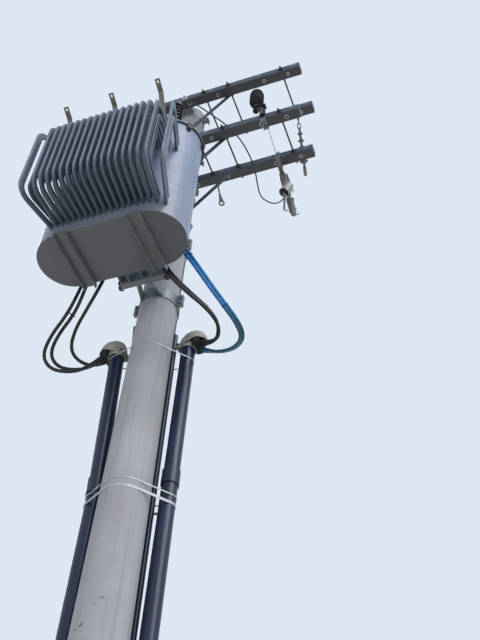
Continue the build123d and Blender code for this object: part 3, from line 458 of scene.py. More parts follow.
class Shape:
    """Gathers the faces of one piece in a mesh."""

    def __init__(self):
        self.mesh = bmesh.new()

    def ring(self, middle, radius, side, across, steps):
        """Points on a circle, in the plane of two directions."""
        angles = [2 * math.pi * i / steps for i in range(steps)]
        spots = [middle + radius * (math.cos(a) * side + math.sin(a) * across) for a in angles]
        return [self.mesh.verts.new(spot) for spot in spots]

    def joined(self, rings, closed=False):
        """The faces from each ring of points to the next, where a ring may be a single point."""
        for low, high in zip(rings, rings[1:] + (rings[:1] if closed else [])):
            for i in range(max(len(low), len(high))):
                j = i + 1
                corners = (low[i % len(low)], low[j % len(low)], high[j % len(high)], high[i % len(high)])
                self.mesh.faces.new(list(dict.fromkeys(corners)))

    def turned(self, outline, place, axis=up, steps=32, closed=False):
        """Turn (radius, height) points round an axis, as a closed ring or with flat ends if off the axis."""
        if outline[0][0] and not closed:
            outline = [(0, outline[0][1]), *outline, (0, outline[-1][1])]
        axis = Vector(axis).normalized()
        side = axis.orthogonal().normalized()
        across = axis.cross(side)
        rings = []
        for radius, height in outline:
            middle = Vector(place) + axis * height
            rings.append(self.ring(middle, radius, side, across, steps if radius else 1))
        self.joined(rings, closed)

    def disc(self, radius, low, high, place, axis=up, steps=32):
        """A plain round plate or pin between two heights."""
        self.turned([(radius, low), (radius, high)], place, axis, steps)

    def nut(self, place, axis, width, height, stud=0.0, washer=0.0):
        """A hexagon nut on a washer a fifth as high, with a stud end that stands out of it."""
        half = width / 2
        base = height / 5
        top = base + height
        if washer:
            self.disc(washer / 2, 0, base, place, axis, 20)
        self.turned([(half, base), (half, top - half * 0.1), (half * 0.85, top)], place, axis, 6)
        if stud:
            core = width * 0.28
            tip = top + stud
            self.turned([(core, top), (core, tip - core * 0.4), (core * 0.6, tip)], place, axis, 12)

    def slab(self, size, place, x_dir=(1, 0, 0), y_dir=(0, 1, 0), edge=0.0015):
        """A plate or block of a size, centred at a place, with its edges taken off."""
        x_dir = Vector(x_dir).normalized()
        y_dir = Vector(y_dir).normalized()
        z_dir = x_dir.cross(y_dir).normalized()
        turned = Matrix((x_dir, y_dir, z_dir)).transposed().to_4x4()
        stand = Matrix.Translation(Vector(place)) @ turned @ Matrix.Diagonal((*size, 1.0))
        made = bmesh.ops.create_cube(self.mesh, size=1.0, matrix=stand)
        if edge:
            edges = list({e for v in made["verts"] for e in v.link_edges})
            bmesh.ops.bevel(self.mesh, geom=edges, offset=edge, segments=2, affect="EDGES", profile=0.6)

    def drawn(self, outline, start, end):
        """Carry a closed outline of points straight from one offset to another."""
        low = [self.mesh.verts.new(Vector(p) + Vector(start)) for p in outline]
        high = [self.mesh.verts.new(Vector(p) + Vector(end)) for p in outline]
        self.joined([low, high])
        self.mesh.faces.new(list(reversed(low)))
        self.mesh.faces.new(high)

    def tube(self, points, radius, steps=10, closed=False):
        """A round bar or wire along a line of points."""
        points = [Vector(p) for p in points]
        last = len(points) - 1
        rings = []
        side = None
        for i, point in enumerate(points):
            if closed:
                ahead = points[(i + 1) % len(points)] - points[i - 1]
            else:
                ahead = points[min(i + 1, last)] - points[max(i - 1, 0)]
            ahead.normalize()
            if side is None:
                side = ahead.orthogonal()
            side = (side - ahead * side.dot(ahead)).normalized()
            rings.append(self.ring(point, radius, side, ahead.cross(side), steps))
        self.joined(rings, closed)
        if not closed:
            self.mesh.faces.new(list(reversed(rings[0])))
            self.mesh.faces.new(rings[-1])

    def loop(self, place, axis, radius, bar, steps=28, long_way=None, stretch=1.0):
        """A ring of round bar about an axis, drawn out along one way if a stretch is given."""
        axis = Vector(axis).normalized()
        first = Vector(long_way).normalized() if long_way else axis.orthogonal().normalized()
        second = axis.cross(first)
        place = Vector(place)
        angles = [2 * math.pi * i / steps for i in range(steps)]
        points = [place + radius * (stretch * math.cos(a) * first + math.sin(a) * second) for a in angles]
        self.tube(points, bar, 8, closed=True)

    def show(self, name, material=galvanised, slot_name="galvanised", replaced=(), sharp=35):
        """Make the piece, smooth except at edges that turn by more than an angle, and show it."""
        bmesh.ops.recalc_face_normals(self.mesh, faces=self.mesh.faces)
        data = bpy.data.meshes.new(name)
        self.mesh.to_mesh(data)
        self.mesh.free()
        for face in data.polygons:
            face.use_smooth = True
        data.set_sharp_from_angle(angle=math.radians(sharp))
        made = bpy.data.objects.new(name, data)
        scene.collection.objects.link(made)
        show(made, material, replaced)


arm_names = ("upper_front", "upper_back", "lower_front", "lower_back")
arms = {name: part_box("crossarm_" + name) for name in arm_names}
sides = (-1, 1)
corners = [(math.cos(turns * math.pi / 4), math.sin(turns * math.pi / 4)) for turns in (1, 3, 5, 7)]

# Bolt sizes, each the width and height of a nut
nut_6 = (0.012, 0.006)
nut_8 = (0.015, 0.008)
nut_10 = (0.02, 0.01)
nut_12 = (0.022, 0.01)
nut_14 = (0.024, 0.012)
nut_16 = (0.026, 0.013)
nut_20 = (0.03, 0.015)

# High voltage bushings: rounded sheds on a tapering core, a clamp ring below and a terminal on top
lid_low, lid_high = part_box("tank_lid")
bushing_low, bushing_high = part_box("hv_bushings")
bushing_y = (bushing_low.y + bushing_high.y) / 2
bushing_flange = 0.059
bushing_step = (bushing_high.x - bushing_low.x - 2 * bushing_flange) / 2
bushing_shed_pitch = 0.05
bushing_shed_count = 7
bushing_shed = ((0.031, 0), (0.043, 0.004), (0.0495, 0.001), (0.0505, 0.006), (0.046, 0.014), (0.033, 0.026))
bushing_bolt_circle = 0.049
bushings = Shape()
fittings = Shape()
for i in range(3):
    place = Vector((bushing_low.x + bushing_flange + i * bushing_step, bushing_y, lid_high.z))
    outline = [(0, 0.018), (0.05, 0.018), (0.052, 0.03), (0.034, 0.042)]
    outline += ribbed(bushing_shed, bushing_shed_pitch, bushing_shed_pitch, bushing_shed_count)
    outline += [(0.028, 0.398), (0.028, 0.412), (0, 0.412)]
    bushings.turned(outline, place, steps=40)
    fittings.turned([(bushing_flange, 0), (bushing_flange, 0.014), (0.054, 0.022)], place, steps=40)
    fittings.turned([(0.03, 0.41), (0.03, 0.428), (0.02, 0.434)], place, steps=24)
    fittings.nut(place + raised(0.43), up, 0.032, 0.012, stud=0.022, washer=0.036)
    for x, y in corners:
        spot = place + bushing_bolt_circle * Vector((x, y, 0)) + raised(0.018)
        fittings.nut(spot, up, *nut_8, stud=0.006)
bushings.show("bushing_sheds", porcelain, "porcelain", ("hv_bushings",), sharp=60)
fittings.show("bushing_fittings")

# Sleeves in the crossarm holes, and small fixing holes in pairs along both faces, bright with painted light
arm_hole_places = (0.060, 0.365, 0.850, 1.094)
sleeve_rim = [(0.0115, -0.004), (0.0115, 0.0025), (0.018, 0.0025), (0.019, 0.0005), (0.019, -0.001)]
face_hole_places = (0.302, 0.786, 1.143)
face_hole_gap = 0.027
face_hole_lift = 0.012
face_hole_rim = [(0, 0.0005), (0.004, 0.0012), (0.0065, 0.0012), (0.007, -0.0008)]
sleeves = Shape()
face_holes = Shape()
for low, high in arms.values():
    middle = (low + high) / 2
    for side in sides:
        for x in arm_hole_places:
            for z, way in ((low.z, -1), (high.z, 1)):
                sleeves.turned(sleeve_rim, (side * x, middle.y, z), (0, 0, way), 24, closed=True)
        for x in face_hole_places:
            for shift in (0, face_hole_gap):
                for y, way in ((low.y, -1), (high.y, 1)):
                    spot = (side * (x + shift), y, middle.z + face_hole_lift)
                    face_holes.turned(face_hole_rim, spot, (0, way, 0), 16)
sleeves.show("crossarm_hole_sleeves", sunlit_steel, "galvanised")
face_holes.show("crossarm_face_holes", sunlit_steel, "galvanised")

# Clamps round the lid, with their bolts
lid_foot = Vector(((lid_low.x + lid_high.x) / 2, (lid_low.y + lid_high.y) / 2, lid_low.z))
lid_round = (lid_high.y - lid_low.y) / 2
lid_straight = (lid_high.x - lid_low.x) / 2 - lid_round
clamp_count = 14
clamp_start = 0.35
clamp_wide = 0.04


def lid_edge(share):
    """A point on the lid's edge and the way out of it, at a share of the way round."""
    half_round = math.pi * lid_round
    gone = share % 1 * (4 * lid_straight + 2 * half_round)
    for end, start_angle in ((1, -math.pi / 2), (-1, math.pi / 2)):
        if gone < 2 * lid_straight:
            out = Vector((0, -end, 0))
            return lid_foot + Vector((end * (gone - lid_straight), 0, 0)) + out * lid_round, out
        gone -= 2 * lid_straight
        if gone < half_round:
            angle = gone / lid_round + start_angle
            out = Vector((math.cos(angle), math.sin(angle), 0))
            return lid_foot + Vector((end * lid_straight, 0, 0)) + out * lid_round, out
        gone -= half_round


clamps = Shape()
for i in range(clamp_count):
    spot, out = lid_edge((i + clamp_start) / clamp_count)
    side = out.cross(Vector(up))
    clamps.slab((clamp_wide, 0.006, 0.07), spot + out * 0.004 + raised(-0.012), side, out)
    clamps.slab((clamp_wide, 0.05, 0.008), spot - out * 0.018 + raised(0.017), side, out)
    clamps.slab((clamp_wide, 0.034, 0.008), spot - out * 0.013 + raised(-0.047), side, out)
    clamps.nut(spot - out * 0.02 + raised(0.021), up, *nut_10, stud=0.012)
    clamps.nut(spot - out * 0.012 + raised(-0.05), down, *nut_10, stud=0.02)
clamps.show("lid_clamps", dark_steel, "galvanised")

# Arresters: near black barrels with close fine ribs, their arms, the clamps on the crossarm and thin leads
arrester_places = (-0.787, -0.540, 0.787)
arrester_foot, arrester_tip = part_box("arresters")
arrester_y = (arrester_foot.y + arrester_tip.y) / 2
arrester_z = arrester_foot.z
barrel_rim = 0.068
barrel_start = 0.112
rib_pitch = 0.017
rib_count = 12
rib_depth = 0.004
foot_draws_in = 0.005
top_draws_in = 0.004
wire_sag = ((0, 0.02, 0), (-0.018, 0.03, -0.05), (-0.012, 0.04, -0.105), (0.004, 0.05, -0.112),
            (0.016, 0.06, -0.06))
wire_run = ((0.016, -0.02, -0.03), (0.006, 0.14, -0.025), (-0.006, 0.28, 0))
arm_low, arm_high = arms["lower_front"]
strap_reach = 0.095
strap_wide = 0.05
strap_thick = 0.006
barrels = Shape()
caps = Shape()
black_arms = Shape()
bolts = Shape()
wires = Shape()
for x in arrester_places:
    place = Vector((x, arrester_y, arrester_z))
    outline = [(0, 0), (0.024, 0), (0.024, 0.09), (0.036, 0.096), (0.05, 0.106)]
    for i in range(rib_count):
        z = barrel_start + i * rib_pitch
        rim = barrel_rim - foot_draws_in * max(0, 2 - i) - top_draws_in * max(0, i + 3 - rib_count)
        outline += [(rim - rib_depth, z), (rim, z + 0.004), (rim, z + 0.008), (rim - rib_depth, z + 0.013)]
    outline += [(0.054, 0.318), (0.046, 0.33), (0.034, 0.339), (0.02, 0.345), (0, 0.346)]
    barrels.turned(outline, place, steps=44)
    caps.disc(0.016, 0.34, 0.356, place, steps=20)
    caps.nut(place + raised(0.356), up, 0.022, 0.009, stud=0.02, washer=0.028)

    side = math.copysign(1, x)
    strap_x = x + side * strap_reach
    top = place + Vector((side * 0.02, -0.01, -0.014))
    foot = Vector((strap_x - side * 0.004, arm_low.y - 0.03, arm_high.z + 0.03))
    lean = foot - top
    black_arms.slab((lean.length, 0.042, 0.03), (top + foot) / 2, lean, (0, 1, 0), 0.004)
    black_arms.slab((strap_wide, 0.026, 0.1), (strap_x, arm_low.y - 0.02, arm_high.z - 0.012), edge=0.004)
    black_arms.slab((0.115, 0.06, 0.006), ((x + strap_x) / 2, arrester_y - 0.015, arrester_z - 0.003))
    saucer = [(0.026, -0.012), (0.03, 0), (0.024, 0.004)]
    black_arms.turned(saucer, place + raised(-0.012), steps=24)

    for z in (arm_high.z - 0.035, arm_high.z + 0.018):
        bolts.nut((strap_x, arm_low.y - 0.033, z), (0, -1, 0), *nut_12, stud=0.014, washer=0.03)
    for size, y, z in (
        ((strap_wide, 0.126, strap_thick), arm_low.y + 0.051, arm_low.z - 0.004),
        ((strap_wide, strap_thick, 0.1), arm_high.y + 0.0035, (arm_low.z + arm_high.z) / 2 - 0.006),
        ((strap_wide, strap_thick, 0.152), arm_low.y - 0.003, arm_low.z + 0.03),
    ):
        bolts.slab(size, (strap_x, y, z))
    for y, stud in ((arm_low.y + 0.02, 0.026), (arm_high.y - 0.02, 0.02)):
        bolts.nut((strap_x, y, arm_low.z - 0.007), down, *nut_14, stud=stud, washer=0.034)

    drop = arm_low.z - 0.02
    turn_y = arm_high.y - 0.02
    slack = [*((along, arm_low.y + y, rise) for along, y, rise in wire_sag), (0.02, turn_y, 0.004)]
    to_cutout = [(0.02, turn_y, -0.006), *wire_run]
    for run, radius in ((slack, 0.0028), (to_cutout, 0.003)):
        wires.tube([(strap_x + side * along, y, drop + rise) for along, y, rise in run], radius, 8)
barrels.show("arrester_barrels", polymer, "polymer", ("arresters",), sharp=50)
caps.show("arrester_terminals")
black_arms.show("arrester_arms", polymer, "polymer", ("arrester_brackets",))
bolts.show("arrester_clamps")
wires.show("arrester_wires")

# Fuse cutouts: a drop of porcelain above, a slender one below, a tilted cup in front and hooks below it
cutout_places = (-0.873, -0.380, 0.873)
cutout_y = 0.318
cutout_top = 9.1145
cutout_lean = (0.1584, 0.1228)
lower_shed = ((0.023, 0), (0.033, 0.008), (0.034, 0.013), (0.024, 0.026))
lower_shed_pitch = 0.034
lower_shed_count = 5
ring_pitch = 0.042
ring_count = 6
ring_r = 0.026
ring_swell = 0.011
cutout_caps = (
    [(0.028, 0.302), (0.031, 0.31), (0.031, 0.334), (0.024, 0.342)],
    [(0.024, 0.41), (0.031, 0.418), (0.031, 0.444), (0.026, 0.452)],
)
neck = 0.376
cup_place = (0.096, -0.045, 8.775)
cup_tilt = (0.34, 0.15, 0.93)
cup_depth = 0.13
cup_outline = [
    (0, -0.012), (0.014, -0.012), (0.018, -0.004), (0.036, 0.0), (0.043, 0.008), (0.0455, 0.02),
    (0.0455, 0.122), (0.0475, 0.126), (0.0475, 0.133), (0.043, 0.133), (0.0415, 0.12), (0.0415, 0.024),
    (0.034, 0.012), (0, 0.01),
]
lead_end = (0.059, -0.058, 8.5865)
clasp_wide = 0.044
clasp_thick = 0.005
clasp_teeth = (-0.026, -0.013, 0, 0.013, 0.026)
back_low, back_high = arms["lower_back"]
arm_mid = (back_low + back_high) / 2
drops = Shape()
irons = Shape()
cups = Shape()
for x in cutout_places:
    side = math.copysign(1, x)
    across = Vector((side, 0, 0))
    axis = Vector((side * cutout_lean[0], cutout_lean[1], -1)).normalized()
    top = Vector((x, cutout_y, cutout_top))
    outline = [(0, 0.02), (0.019, 0.02), (0.021, 0.032)]
    for i in range(ring_count):
        z = 0.036 + i * ring_pitch
        rim = ring_r + ring_swell * math.sin(math.pi * (i + 1) / (ring_count + 1))
        outline += [(rim, z), (rim + 0.002, z + 0.014), (rim + 0.002, z + 0.022), (rim, z + 0.036)]
    drops.turned(outline + [(0.026, 0.296), (0.022, 0.31), (0, 0.31)], top, axis, 36)
    outline = [(0, 0.44), (0.022, 0.44), (0.024, 0.452)]
    outline += ribbed(lower_shed, 0.456, lower_shed_pitch, lower_shed_count)
    drops.turned(outline + [(0.021, 0.63), (0, 0.634)], top, axis, 32)

    # Caps of the porcelains and the irons between them
    irons.turned([(0.014, 0), (0.014, 0.008), (0.009, 0.012), (0.009, 0.03)], top, axis, 20)
    for cap in cutout_caps:
        irons.turned(cap, top, axis, 28)
    irons.turned([(0.024, 0.62), (0.026, 0.64), (0.016, 0.655)], top, axis, 24)
    middle = top + axis * neck
    irons.slab((0.034, 0.01, 0.13), middle + Vector((0, 0.02, 0)))
    irons.slab((0.012, 0.03, 0.12), middle)
    for shift in (0.012, 0.03):
        start = top + axis * 0.03 + across * (0.034 + shift * 0.3) + Vector((0, 0.01, 0))
        irons.tube([start, start + axis * 0.29 + across * shift * 0.5], 0.0038, 8)
    tail = top + axis * 0.63
    tail_bends = ((0, 0), (0.03, 0.03), (0.048, 0.02), (0.052, 0))
    irons.tube([tail + across * out + axis * along for out, along in tail_bends], 0.0045, 8)

    # Clamp round the arm
    clasp_x = x + side * 0.008
    irons.slab((clasp_wide, clasp_thick, 0.096), (clasp_x, back_low.y - 0.0035, arm_mid.z), edge=0.001)
    for z in (back_low.z - 0.0035, back_high.z + 0.0035):
        irons.slab((clasp_wide, 0.108, clasp_thick), (clasp_x, arm_mid.y, z), edge=0.001)
    for z in clasp_teeth:
        irons.slab((0.036, 0.004, 0.005), (clasp_x, back_low.y - 0.0075, arm_mid.z + z), edge=0.0008)
    irons.nut((clasp_x, back_low.y + 0.012, back_high.z + 0.006), up, 0.022, 0.012, stud=0.03, washer=0.03)
    irons.nut((clasp_x, back_high.y + 0.014, arm_mid.z), (0, 1, 0), *nut_14, stud=0.018, washer=0.034)
    irons.nut(top + raised(0.0085), up, 0.024, 0.01, stud=0.012, washer=0.03)

    # Cup, open towards the foot, with its stud and the arm that holds it
    cup_axis = -Vector((side * cup_tilt[0], cup_tilt[1], cup_tilt[2])).normalized()
    cup_back = Vector((x + side * cup_place[0], cutout_y + cup_place[1], cup_place[2]))
    cups.turned(cup_outline, cup_back, cup_axis, 40)
    mouth = cup_back + cup_axis * cup_depth
    stud_end = Vector((x + side * lead_end[0], cutout_y + lead_end[1], lead_end[2]))
    stud = stud_end - mouth
    irons.tube([cup_back + cup_axis * 0.02, mouth, mouth + stud * 0.4, stud_end], 0.009, 12)
    irons.nut(mouth + stud * 0.35, stud, 0.026, 0.012, washer=0.034)
    irons.nut(mouth + stud * 0.66, stud, *nut_14)
    held = cup_back - middle
    irons.slab((0.022, held.length, 0.018), (cup_back + middle) / 2 + raised(-0.02), (1, 0, 0), held)

    # Cross bar under the cup and the two straps with hooks
    bar_start = mouth + stud * 0.55
    bar_end = bar_start + Vector((side * 0.07, 0.03, -0.05))
    irons.tube([bar_start, bar_end], 0.007, 10)
    for start, run in ((bar_start + raised(-0.02), 0.2), (bar_end, 0.13)):
        foot = start + Vector((0, 0.01, -run))
        irons.slab((0.02, 0.006, run), (start + foot) / 2, edge=0.001)
        irons.nut(start, (0, -1, 0), 0.018, 0.008, stud=0.006, washer=0.022)
        hook = ((0, 0), (0.004, -0.016), (0.018, -0.024), (0.03, -0.012))
        irons.tube([foot + across * out + raised(rise) for out, rise in hook], 0.0055, 8)
drops.show("cutout_porcelains", grey_porcelain, "cutout_porcelain", ("cutout_insulators",), sharp=55)
irons.show("cutout_irons")
cups.show("fuse_cups", cup_metal, "zinc_bracket", ("fuse_hoods",))

# Dead-end strings: eye, links, a polymer body with thin sheds and a bolted wire clamp
pull_angle = math.radians(10.5)
pull = Vector((-math.sin(pull_angle), math.cos(pull_angle), 0))
pull_side = pull.cross(Vector(up))
rod_tip_y = 0.303
string_x = 1.035
string_z = 10.006
string_pitch = 0.082
string_shed_count = 5
string_rim = 0.027
string_rim_grows = 0.004
string_core = 0.0135
string_clamp = 0.62
string_sockets = (
    [(0.009, 0.1), (0.014, 0.11), (0.014, 0.15), (0.011, 0.156)],
    [(0.013, 0.522), (0.015, 0.53), (0.015, 0.552), (0.009, 0.562)],
)
bodies = Shape()
irons = Shape()
for x in (-string_x, string_x):
    start = Vector((x, rod_tip_y, string_z))
    irons.loop(start + pull * 0.033, pull_side, 0.024, 0.0065, 24, pull, 1.15)
    irons.disc(0.012, -0.004, 0.008, start, pull, 16)
    irons.loop(start + pull * 0.082, up, 0.017, 0.005, 24, pull, 1.9)
    for socket in string_sockets:
        irons.turned(socket, start, pull, 24)
    outline = [(0, 0.15), (0.012, 0.15)]
    for i in range(string_shed_count):
        z = 0.168 + i * string_pitch
        rim = string_rim + string_rim_grows * i
        outline += [(0.0125, z), (rim - 0.012, z + 0.005), (rim, z + 0.003), (rim + 0.001, z + 0.006)]
        outline += [(rim - 0.012, z + 0.012), (string_core, z + 0.02)]
    bodies.turned(outline + [(0.012, 0.53), (0, 0.53)], start, pull, 32)
    for size, along, rise, edge in (
        ((0.05, 0.026, 0.007), 0.575, 0, 0.0015),
        ((0.1, 0.034, 0.026), string_clamp, -0.012, 0.006),
        ((0.08, 0.034, 0.012), string_clamp, 0.014, 0.003),
    ):
        irons.slab(size, start + pull * along + raised(rise), pull, pull_side, edge)
    irons.nut(start + pull * 0.583 + raised(0.004), up, 0.02, 0.009, stud=0.008)
    for along in (0.605, 0.645):
        for out in (-0.012, 0.012):
            spot = start + pull * along + pull_side * out
            irons.nut(spot + raised(0.017), up, *nut_6, stud=0.004)
            irons.nut(spot + raised(-0.02), down, 0.012, 0.005)
bodies.show("string_bodies", grey_polymer, "polymer_grey", ("deadend_strings",), sharp=50)
irons.show("string_irons")

# Eye on the lower tie rod: a round bar, a collar and a flat wedge that ends in the eye
eye_start = Vector((0.228, rod_tip_y, 9.173))
eye_reach = 0.215
eye_plate_half = 0.006
eye_rod = [(0.009, -0.003), (0.009, 0.115), (0.014, 0.118), (0.015, 0.14), (0.011, 0.146)]
eye_half = [(0.017, -0.007), (0.029, -0.007), (0.031, -0.005)]
eye_ring = eye_half + [(radius, -z) for radius, z in reversed(eye_half)]
eye_wedge = ((0.135, 0.012), (eye_reach - 0.01, 0.027), (eye_reach - 0.017, 0.012))
eye_bar = Shape()
eye_bar.turned(eye_rod, eye_start, pull, 24)
outline = [eye_start + pull * along + pull_side * out for along, out in eye_wedge]
outline += [eye_start + pull * along - pull_side * out for along, out in reversed(eye_wedge)]
eye_bar.drawn(outline, (0, 0, -eye_plate_half), (0, 0, eye_plate_half))
eye_bar.turned(eye_ring, eye_start + pull * eye_reach, up, 32, closed=True)
eye_bar.show("eye_bar", replaced=("deadend_eye_rod",))

# Bolts through the ears of the pole bands
ear_inset = 0.021
ear_face = 0.0155
band_levels = {
    "upper_brace_band": (0,),
    "lower_brace_band": (0,),
    "hanger_bracket_lower": (-0.03, 0.03),
    "hanger_bracket_upper": (-0.03, 0.03),
}
bolts = Shape()
for name, shifts in band_levels.items():
    low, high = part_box(name)
    for x in (low.x + ear_inset, high.x - ear_inset):
        for shift in shifts:
            for way in sides:
                spot = (x, way * ear_face, (low.z + high.z) / 2 + shift)
                bolts.nut(spot, (0, way, 0), *nut_16, stud=0.012 if way > 0 else 0, washer=0.034)
bolts.show("band_bolts")

# Bolts that hold the tank's lugs to the channels, and the channels' bent end plates
hanger_levels = (7.105, 7.845)
channel_low, channel_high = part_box("hanger_channels")
channel_front = channel_low.y
bolts = Shape()
end_plates = Shape()
for z in hanger_levels:
    for x in (-0.13, 0.05):
        bolts.nut((x, channel_front + 0.0075, z), (0, 1, 0), *nut_20, stud=0.014, washer=0.042)
    for x in (channel_low.x, channel_high.x):
        end_plates.slab((0.008, 0.07, 0.1), (x, channel_front + 0.03, z), edge=0.002)
        end_plates.slab((0.03, 0.008, 0.1), (x, channel_front + 0.066, z), edge=0.002)
        end_plates.nut((x, channel_front + 0.03, z - 0.05), down, *nut_14, stud=0.02, washer=0.03)
bolts.show("channel_bolts")
end_plates.show("channel_end_plates", dark_steel, "galvanised")

# Low voltage bushings: grey porcelain with two sheds, a metal cap and a flat palm with its lug bolt
lv_places = (-0.440, -0.240, 0.160, 0.360)
lv_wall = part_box("lv_bushings")[0].y
lv_z = 7.56
lv_bolt_circle = 0.037
lv_outline = [
    (0, 0.013), (0.027, 0.013), (0.024, 0.024), (0.036, 0.03), (0.037, 0.035), (0.024, 0.044),
    (0.034, 0.052), (0.035, 0.057), (0.022, 0.066), (0.018, 0.078), (0, 0.078),
]
lv_sleeve = [(0.015, -0.034), (0.0155, 0.004), (0.01, 0.008)]
bodies = Shape()
irons = Shape()
for x in lv_places:
    place = Vector((x, lv_wall, lv_z))
    out = Vector((0, 1, 0))
    bodies.turned(lv_outline, place, out, 32)
    irons.turned([(0.045, 0), (0.045, 0.01), (0.04, 0.014)], place, out, 32)
    irons.turned([(0.02, 0.076), (0.02, 0.09), (0.012, 0.096)], place, out, 24)
    irons.slab((0.04, 0.066, 0.01), place + out * 0.12, edge=0.003)
    irons.nut(place + out * 0.125 + raised(0.005), up, *nut_10, stud=0.008, washer=0.026)
    irons.turned(lv_sleeve, place + out * 0.137 + raised(-0.013), steps=20)
    for across, rise in corners:
        spot = place + out * 0.0125 + lv_bolt_circle * Vector((across, 0, rise))
        irons.nut(spot, out, *nut_6, stud=0.004)
bodies.show("lv_porcelains", grey_porcelain, "cutout_porcelain", ("lv_bushings",), sharp=50)
irons.show("lv_fittings")

# Ties that hold the cables together, each round a pair at one point of their routes
tie_spots = ((4,), (6,), (6, 3))
tie_bar = 0.0025
tie_stand = 0.003
ties = Shape()
for (first, second, _), spots in zip(cable_pairs, tie_spots):
    for spot in spots:
        here, there = Vector(drawn_routes[first][spot]), Vector(drawn_routes[second][spot])
        run = Vector(drawn_routes[first][spot + 1]) - Vector(drawn_routes[first][spot - 1])
        apart = there - here
        apart -= run * (apart.dot(run) / run.length_squared)
        radius = low_cable_d / 2 + tie_stand
        ties.loop((here + there) / 2, run, radius, tie_bar, 32, apart, (apart.length / 2 + radius) / radius)
ties.show("cable_ties", gasket, "gasket")

# Earth wire up the right of the pole, from the small tube to the lower crossarms
earth_turn = math.radians(40)
wire_low = 6.69
wire_high = 9.1
wire_r = 0.006
wire_steps = 120
wire_on_pole = 0.007
wire_on_band = 0.0155
wire_bands = (*hanger_levels, 8.633)
band_reach = 0.075
pole_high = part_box("pole")[1]
pole_foot_r = pole_high.x
pole_narrowing = 0.0865
pole_thinning = pole_narrowing / pole_high.z
earth_wire = Shape()
wire_points = []
for i in range(wire_steps + 1):
    z = wire_low + (wire_high - wire_low) * i / wire_steps
    over_band = any(abs(z - band) < band_reach for band in wire_bands)
    stand = pole_foot_r - pole_thinning * z + (wire_on_band if over_band else wire_on_pole)
    wire_points.append((stand * math.cos(earth_turn), stand * math.sin(earth_turn), z))
earth_wire.tube(wire_points, wire_r, 10)
earth_wire.show("earth_wire", black_sheath, "cable_black")

# Weatherheads: a cast dome over the conduit, raised on its outer side where a dark mouth takes the cables;
# the dark lining, plate and block inside the mouth are painted shadow
head_places = ((-0.268, -0.024, 6.62), (0.240, 0.132, 6.712))
dome_shift = 0.036
dome_half = (0.114, 0.075, 0.128)
shadow_dome_scale = 0.93
dome_low = -0.03
dome_raise = 0.042
raise_starts = -0.1
raise_width = 0.5
dome_steps = 40
dome_rows = 9
dome_squareness = 0.8
clip_reach = 0.062
head_collar = [(0.056, -0.06), (0.063, -0.06), (0.065, -0.056), (0.065, -0.01), (0.063, 0.02), (0.056, 0.02)]


def dome(shape, centre, side, scale):
    """A hollow dome, its rim raised on the side that faces away from the pole."""
    rows = []
    for row in range(dome_rows):
        rise = row / (dome_rows - 1) * math.pi / 2
        flat = scale * math.cos(rise) ** dome_squareness
        ring = []
        for i in range(dome_steps):
            angle = 2 * math.pi * i / dome_steps
            outward = (math.cos(angle) * side - raise_starts) / raise_width
            rim = dome_low + dome_raise * max(0, min(outward, 1))
            z = rim + (dome_half[2] * scale - rim) * math.sin(rise)
            spot = Vector((dome_half[0] * flat * math.cos(angle), dome_half[1] * flat * math.sin(angle), z))
            ring.append(shape.mesh.verts.new(centre + spot))
        rows.append(ring)
    shape.joined(rows)


domes = Shape()
mouths = Shape()
for head in head_places:
    side = math.copysign(1, head[0])
    head = Vector(head)
    out = Vector((side, 0, 0))
    dome(domes, head + out * dome_shift, side, 1.0)
    # Painted shadow: a dark inner dome, a plate over the conduit and a block fill the mouth; the clip's nuts
    # take the same dark finish
    dome(mouths, head + out * dome_shift, side, shadow_dome_scale)
    domes.turned(head_collar, head, steps=36, closed=True)
    clip = head - out * clip_reach + raised(-0.03)
    domes.slab((0.03, 0.11, 0.05), clip, edge=0.004)
    mouths.disc(0.055, 0.004, 0.008, head, steps=32)
    mouths.slab((0.055, 0.135, 0.072), head + out * 0.0755 + raised(-0.016), edge=0.012)
    for way in sides:
        mouths.nut(clip + Vector((0, way * 0.055, 0)), (0, way, 0), 0.016, 0.008, stud=0.006)
old_heads = ("weatherhead_left", "weatherhead_right")
domes.show("weatherhead_domes", cast_metal, "cast_aluminium", old_heads, sharp=60)
mouths.show("weatherhead_mouths", painted_mouth_shadow, "cable_black", sharp=60)

# Flat bars on the front of the tank, bent forward, with a square hole through each tip
tank_low, tank_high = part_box("tank_shell")
bar_places = (-0.445, -0.04, 0.365)
bar_wide = 0.042
bar_thick = 0.006
bar_hole = 0.016
bar_hole_inset = 0.024
bar_cheek = (bar_wide - bar_hole) / 2
bar_lap = 0.6
bar_edge = 0.0008
bar_bends = ((0, 7.89), (0, 7.97), (0.19, 8.29), (0.285, 8.338))
bars = Shape()
for x in bar_places:
    knees = [Vector((x, tank_low.y - out, z)) for out, z in bar_bends]
    for start, end in zip(knees, knees[1:]):
        run = end - start
        way = run.normalized()
        lift = way.cross(Vector((1, 0, 0))) * -bar_thick / 2
        if end is not knees[-1]:
            size = (bar_wide, run.length + bar_thick * bar_lap, bar_thick)
            bars.slab(size, (start + end) / 2 + lift, (1, 0, 0), way, bar_edge)
            continue
        hole = end + lift - way * bar_hole_inset
        solid = run.length - bar_hole_inset - bar_hole / 2
        tip = bar_hole_inset - bar_hole / 2
        bars.slab((bar_wide, solid, bar_thick), start + lift + way * solid / 2, (1, 0, 0), way, bar_edge)
        bars.slab((bar_wide, tip, bar_thick), end + lift - way * tip / 2, (1, 0, 0), way, bar_edge)
        for side in sides:
            spot = hole + Vector((side * (bar_hole + bar_cheek) / 2, 0, 0))
            bars.slab((bar_cheek, bar_hole, bar_thick), spot, (1, 0, 0), way, 0)
    bars.slab((bar_wide, 0.012, 0.08), (x, tank_low.y, 7.93))
bars.show("perforated_bars", bar_steel, "zinc_bracket", ("arrester_bars",))

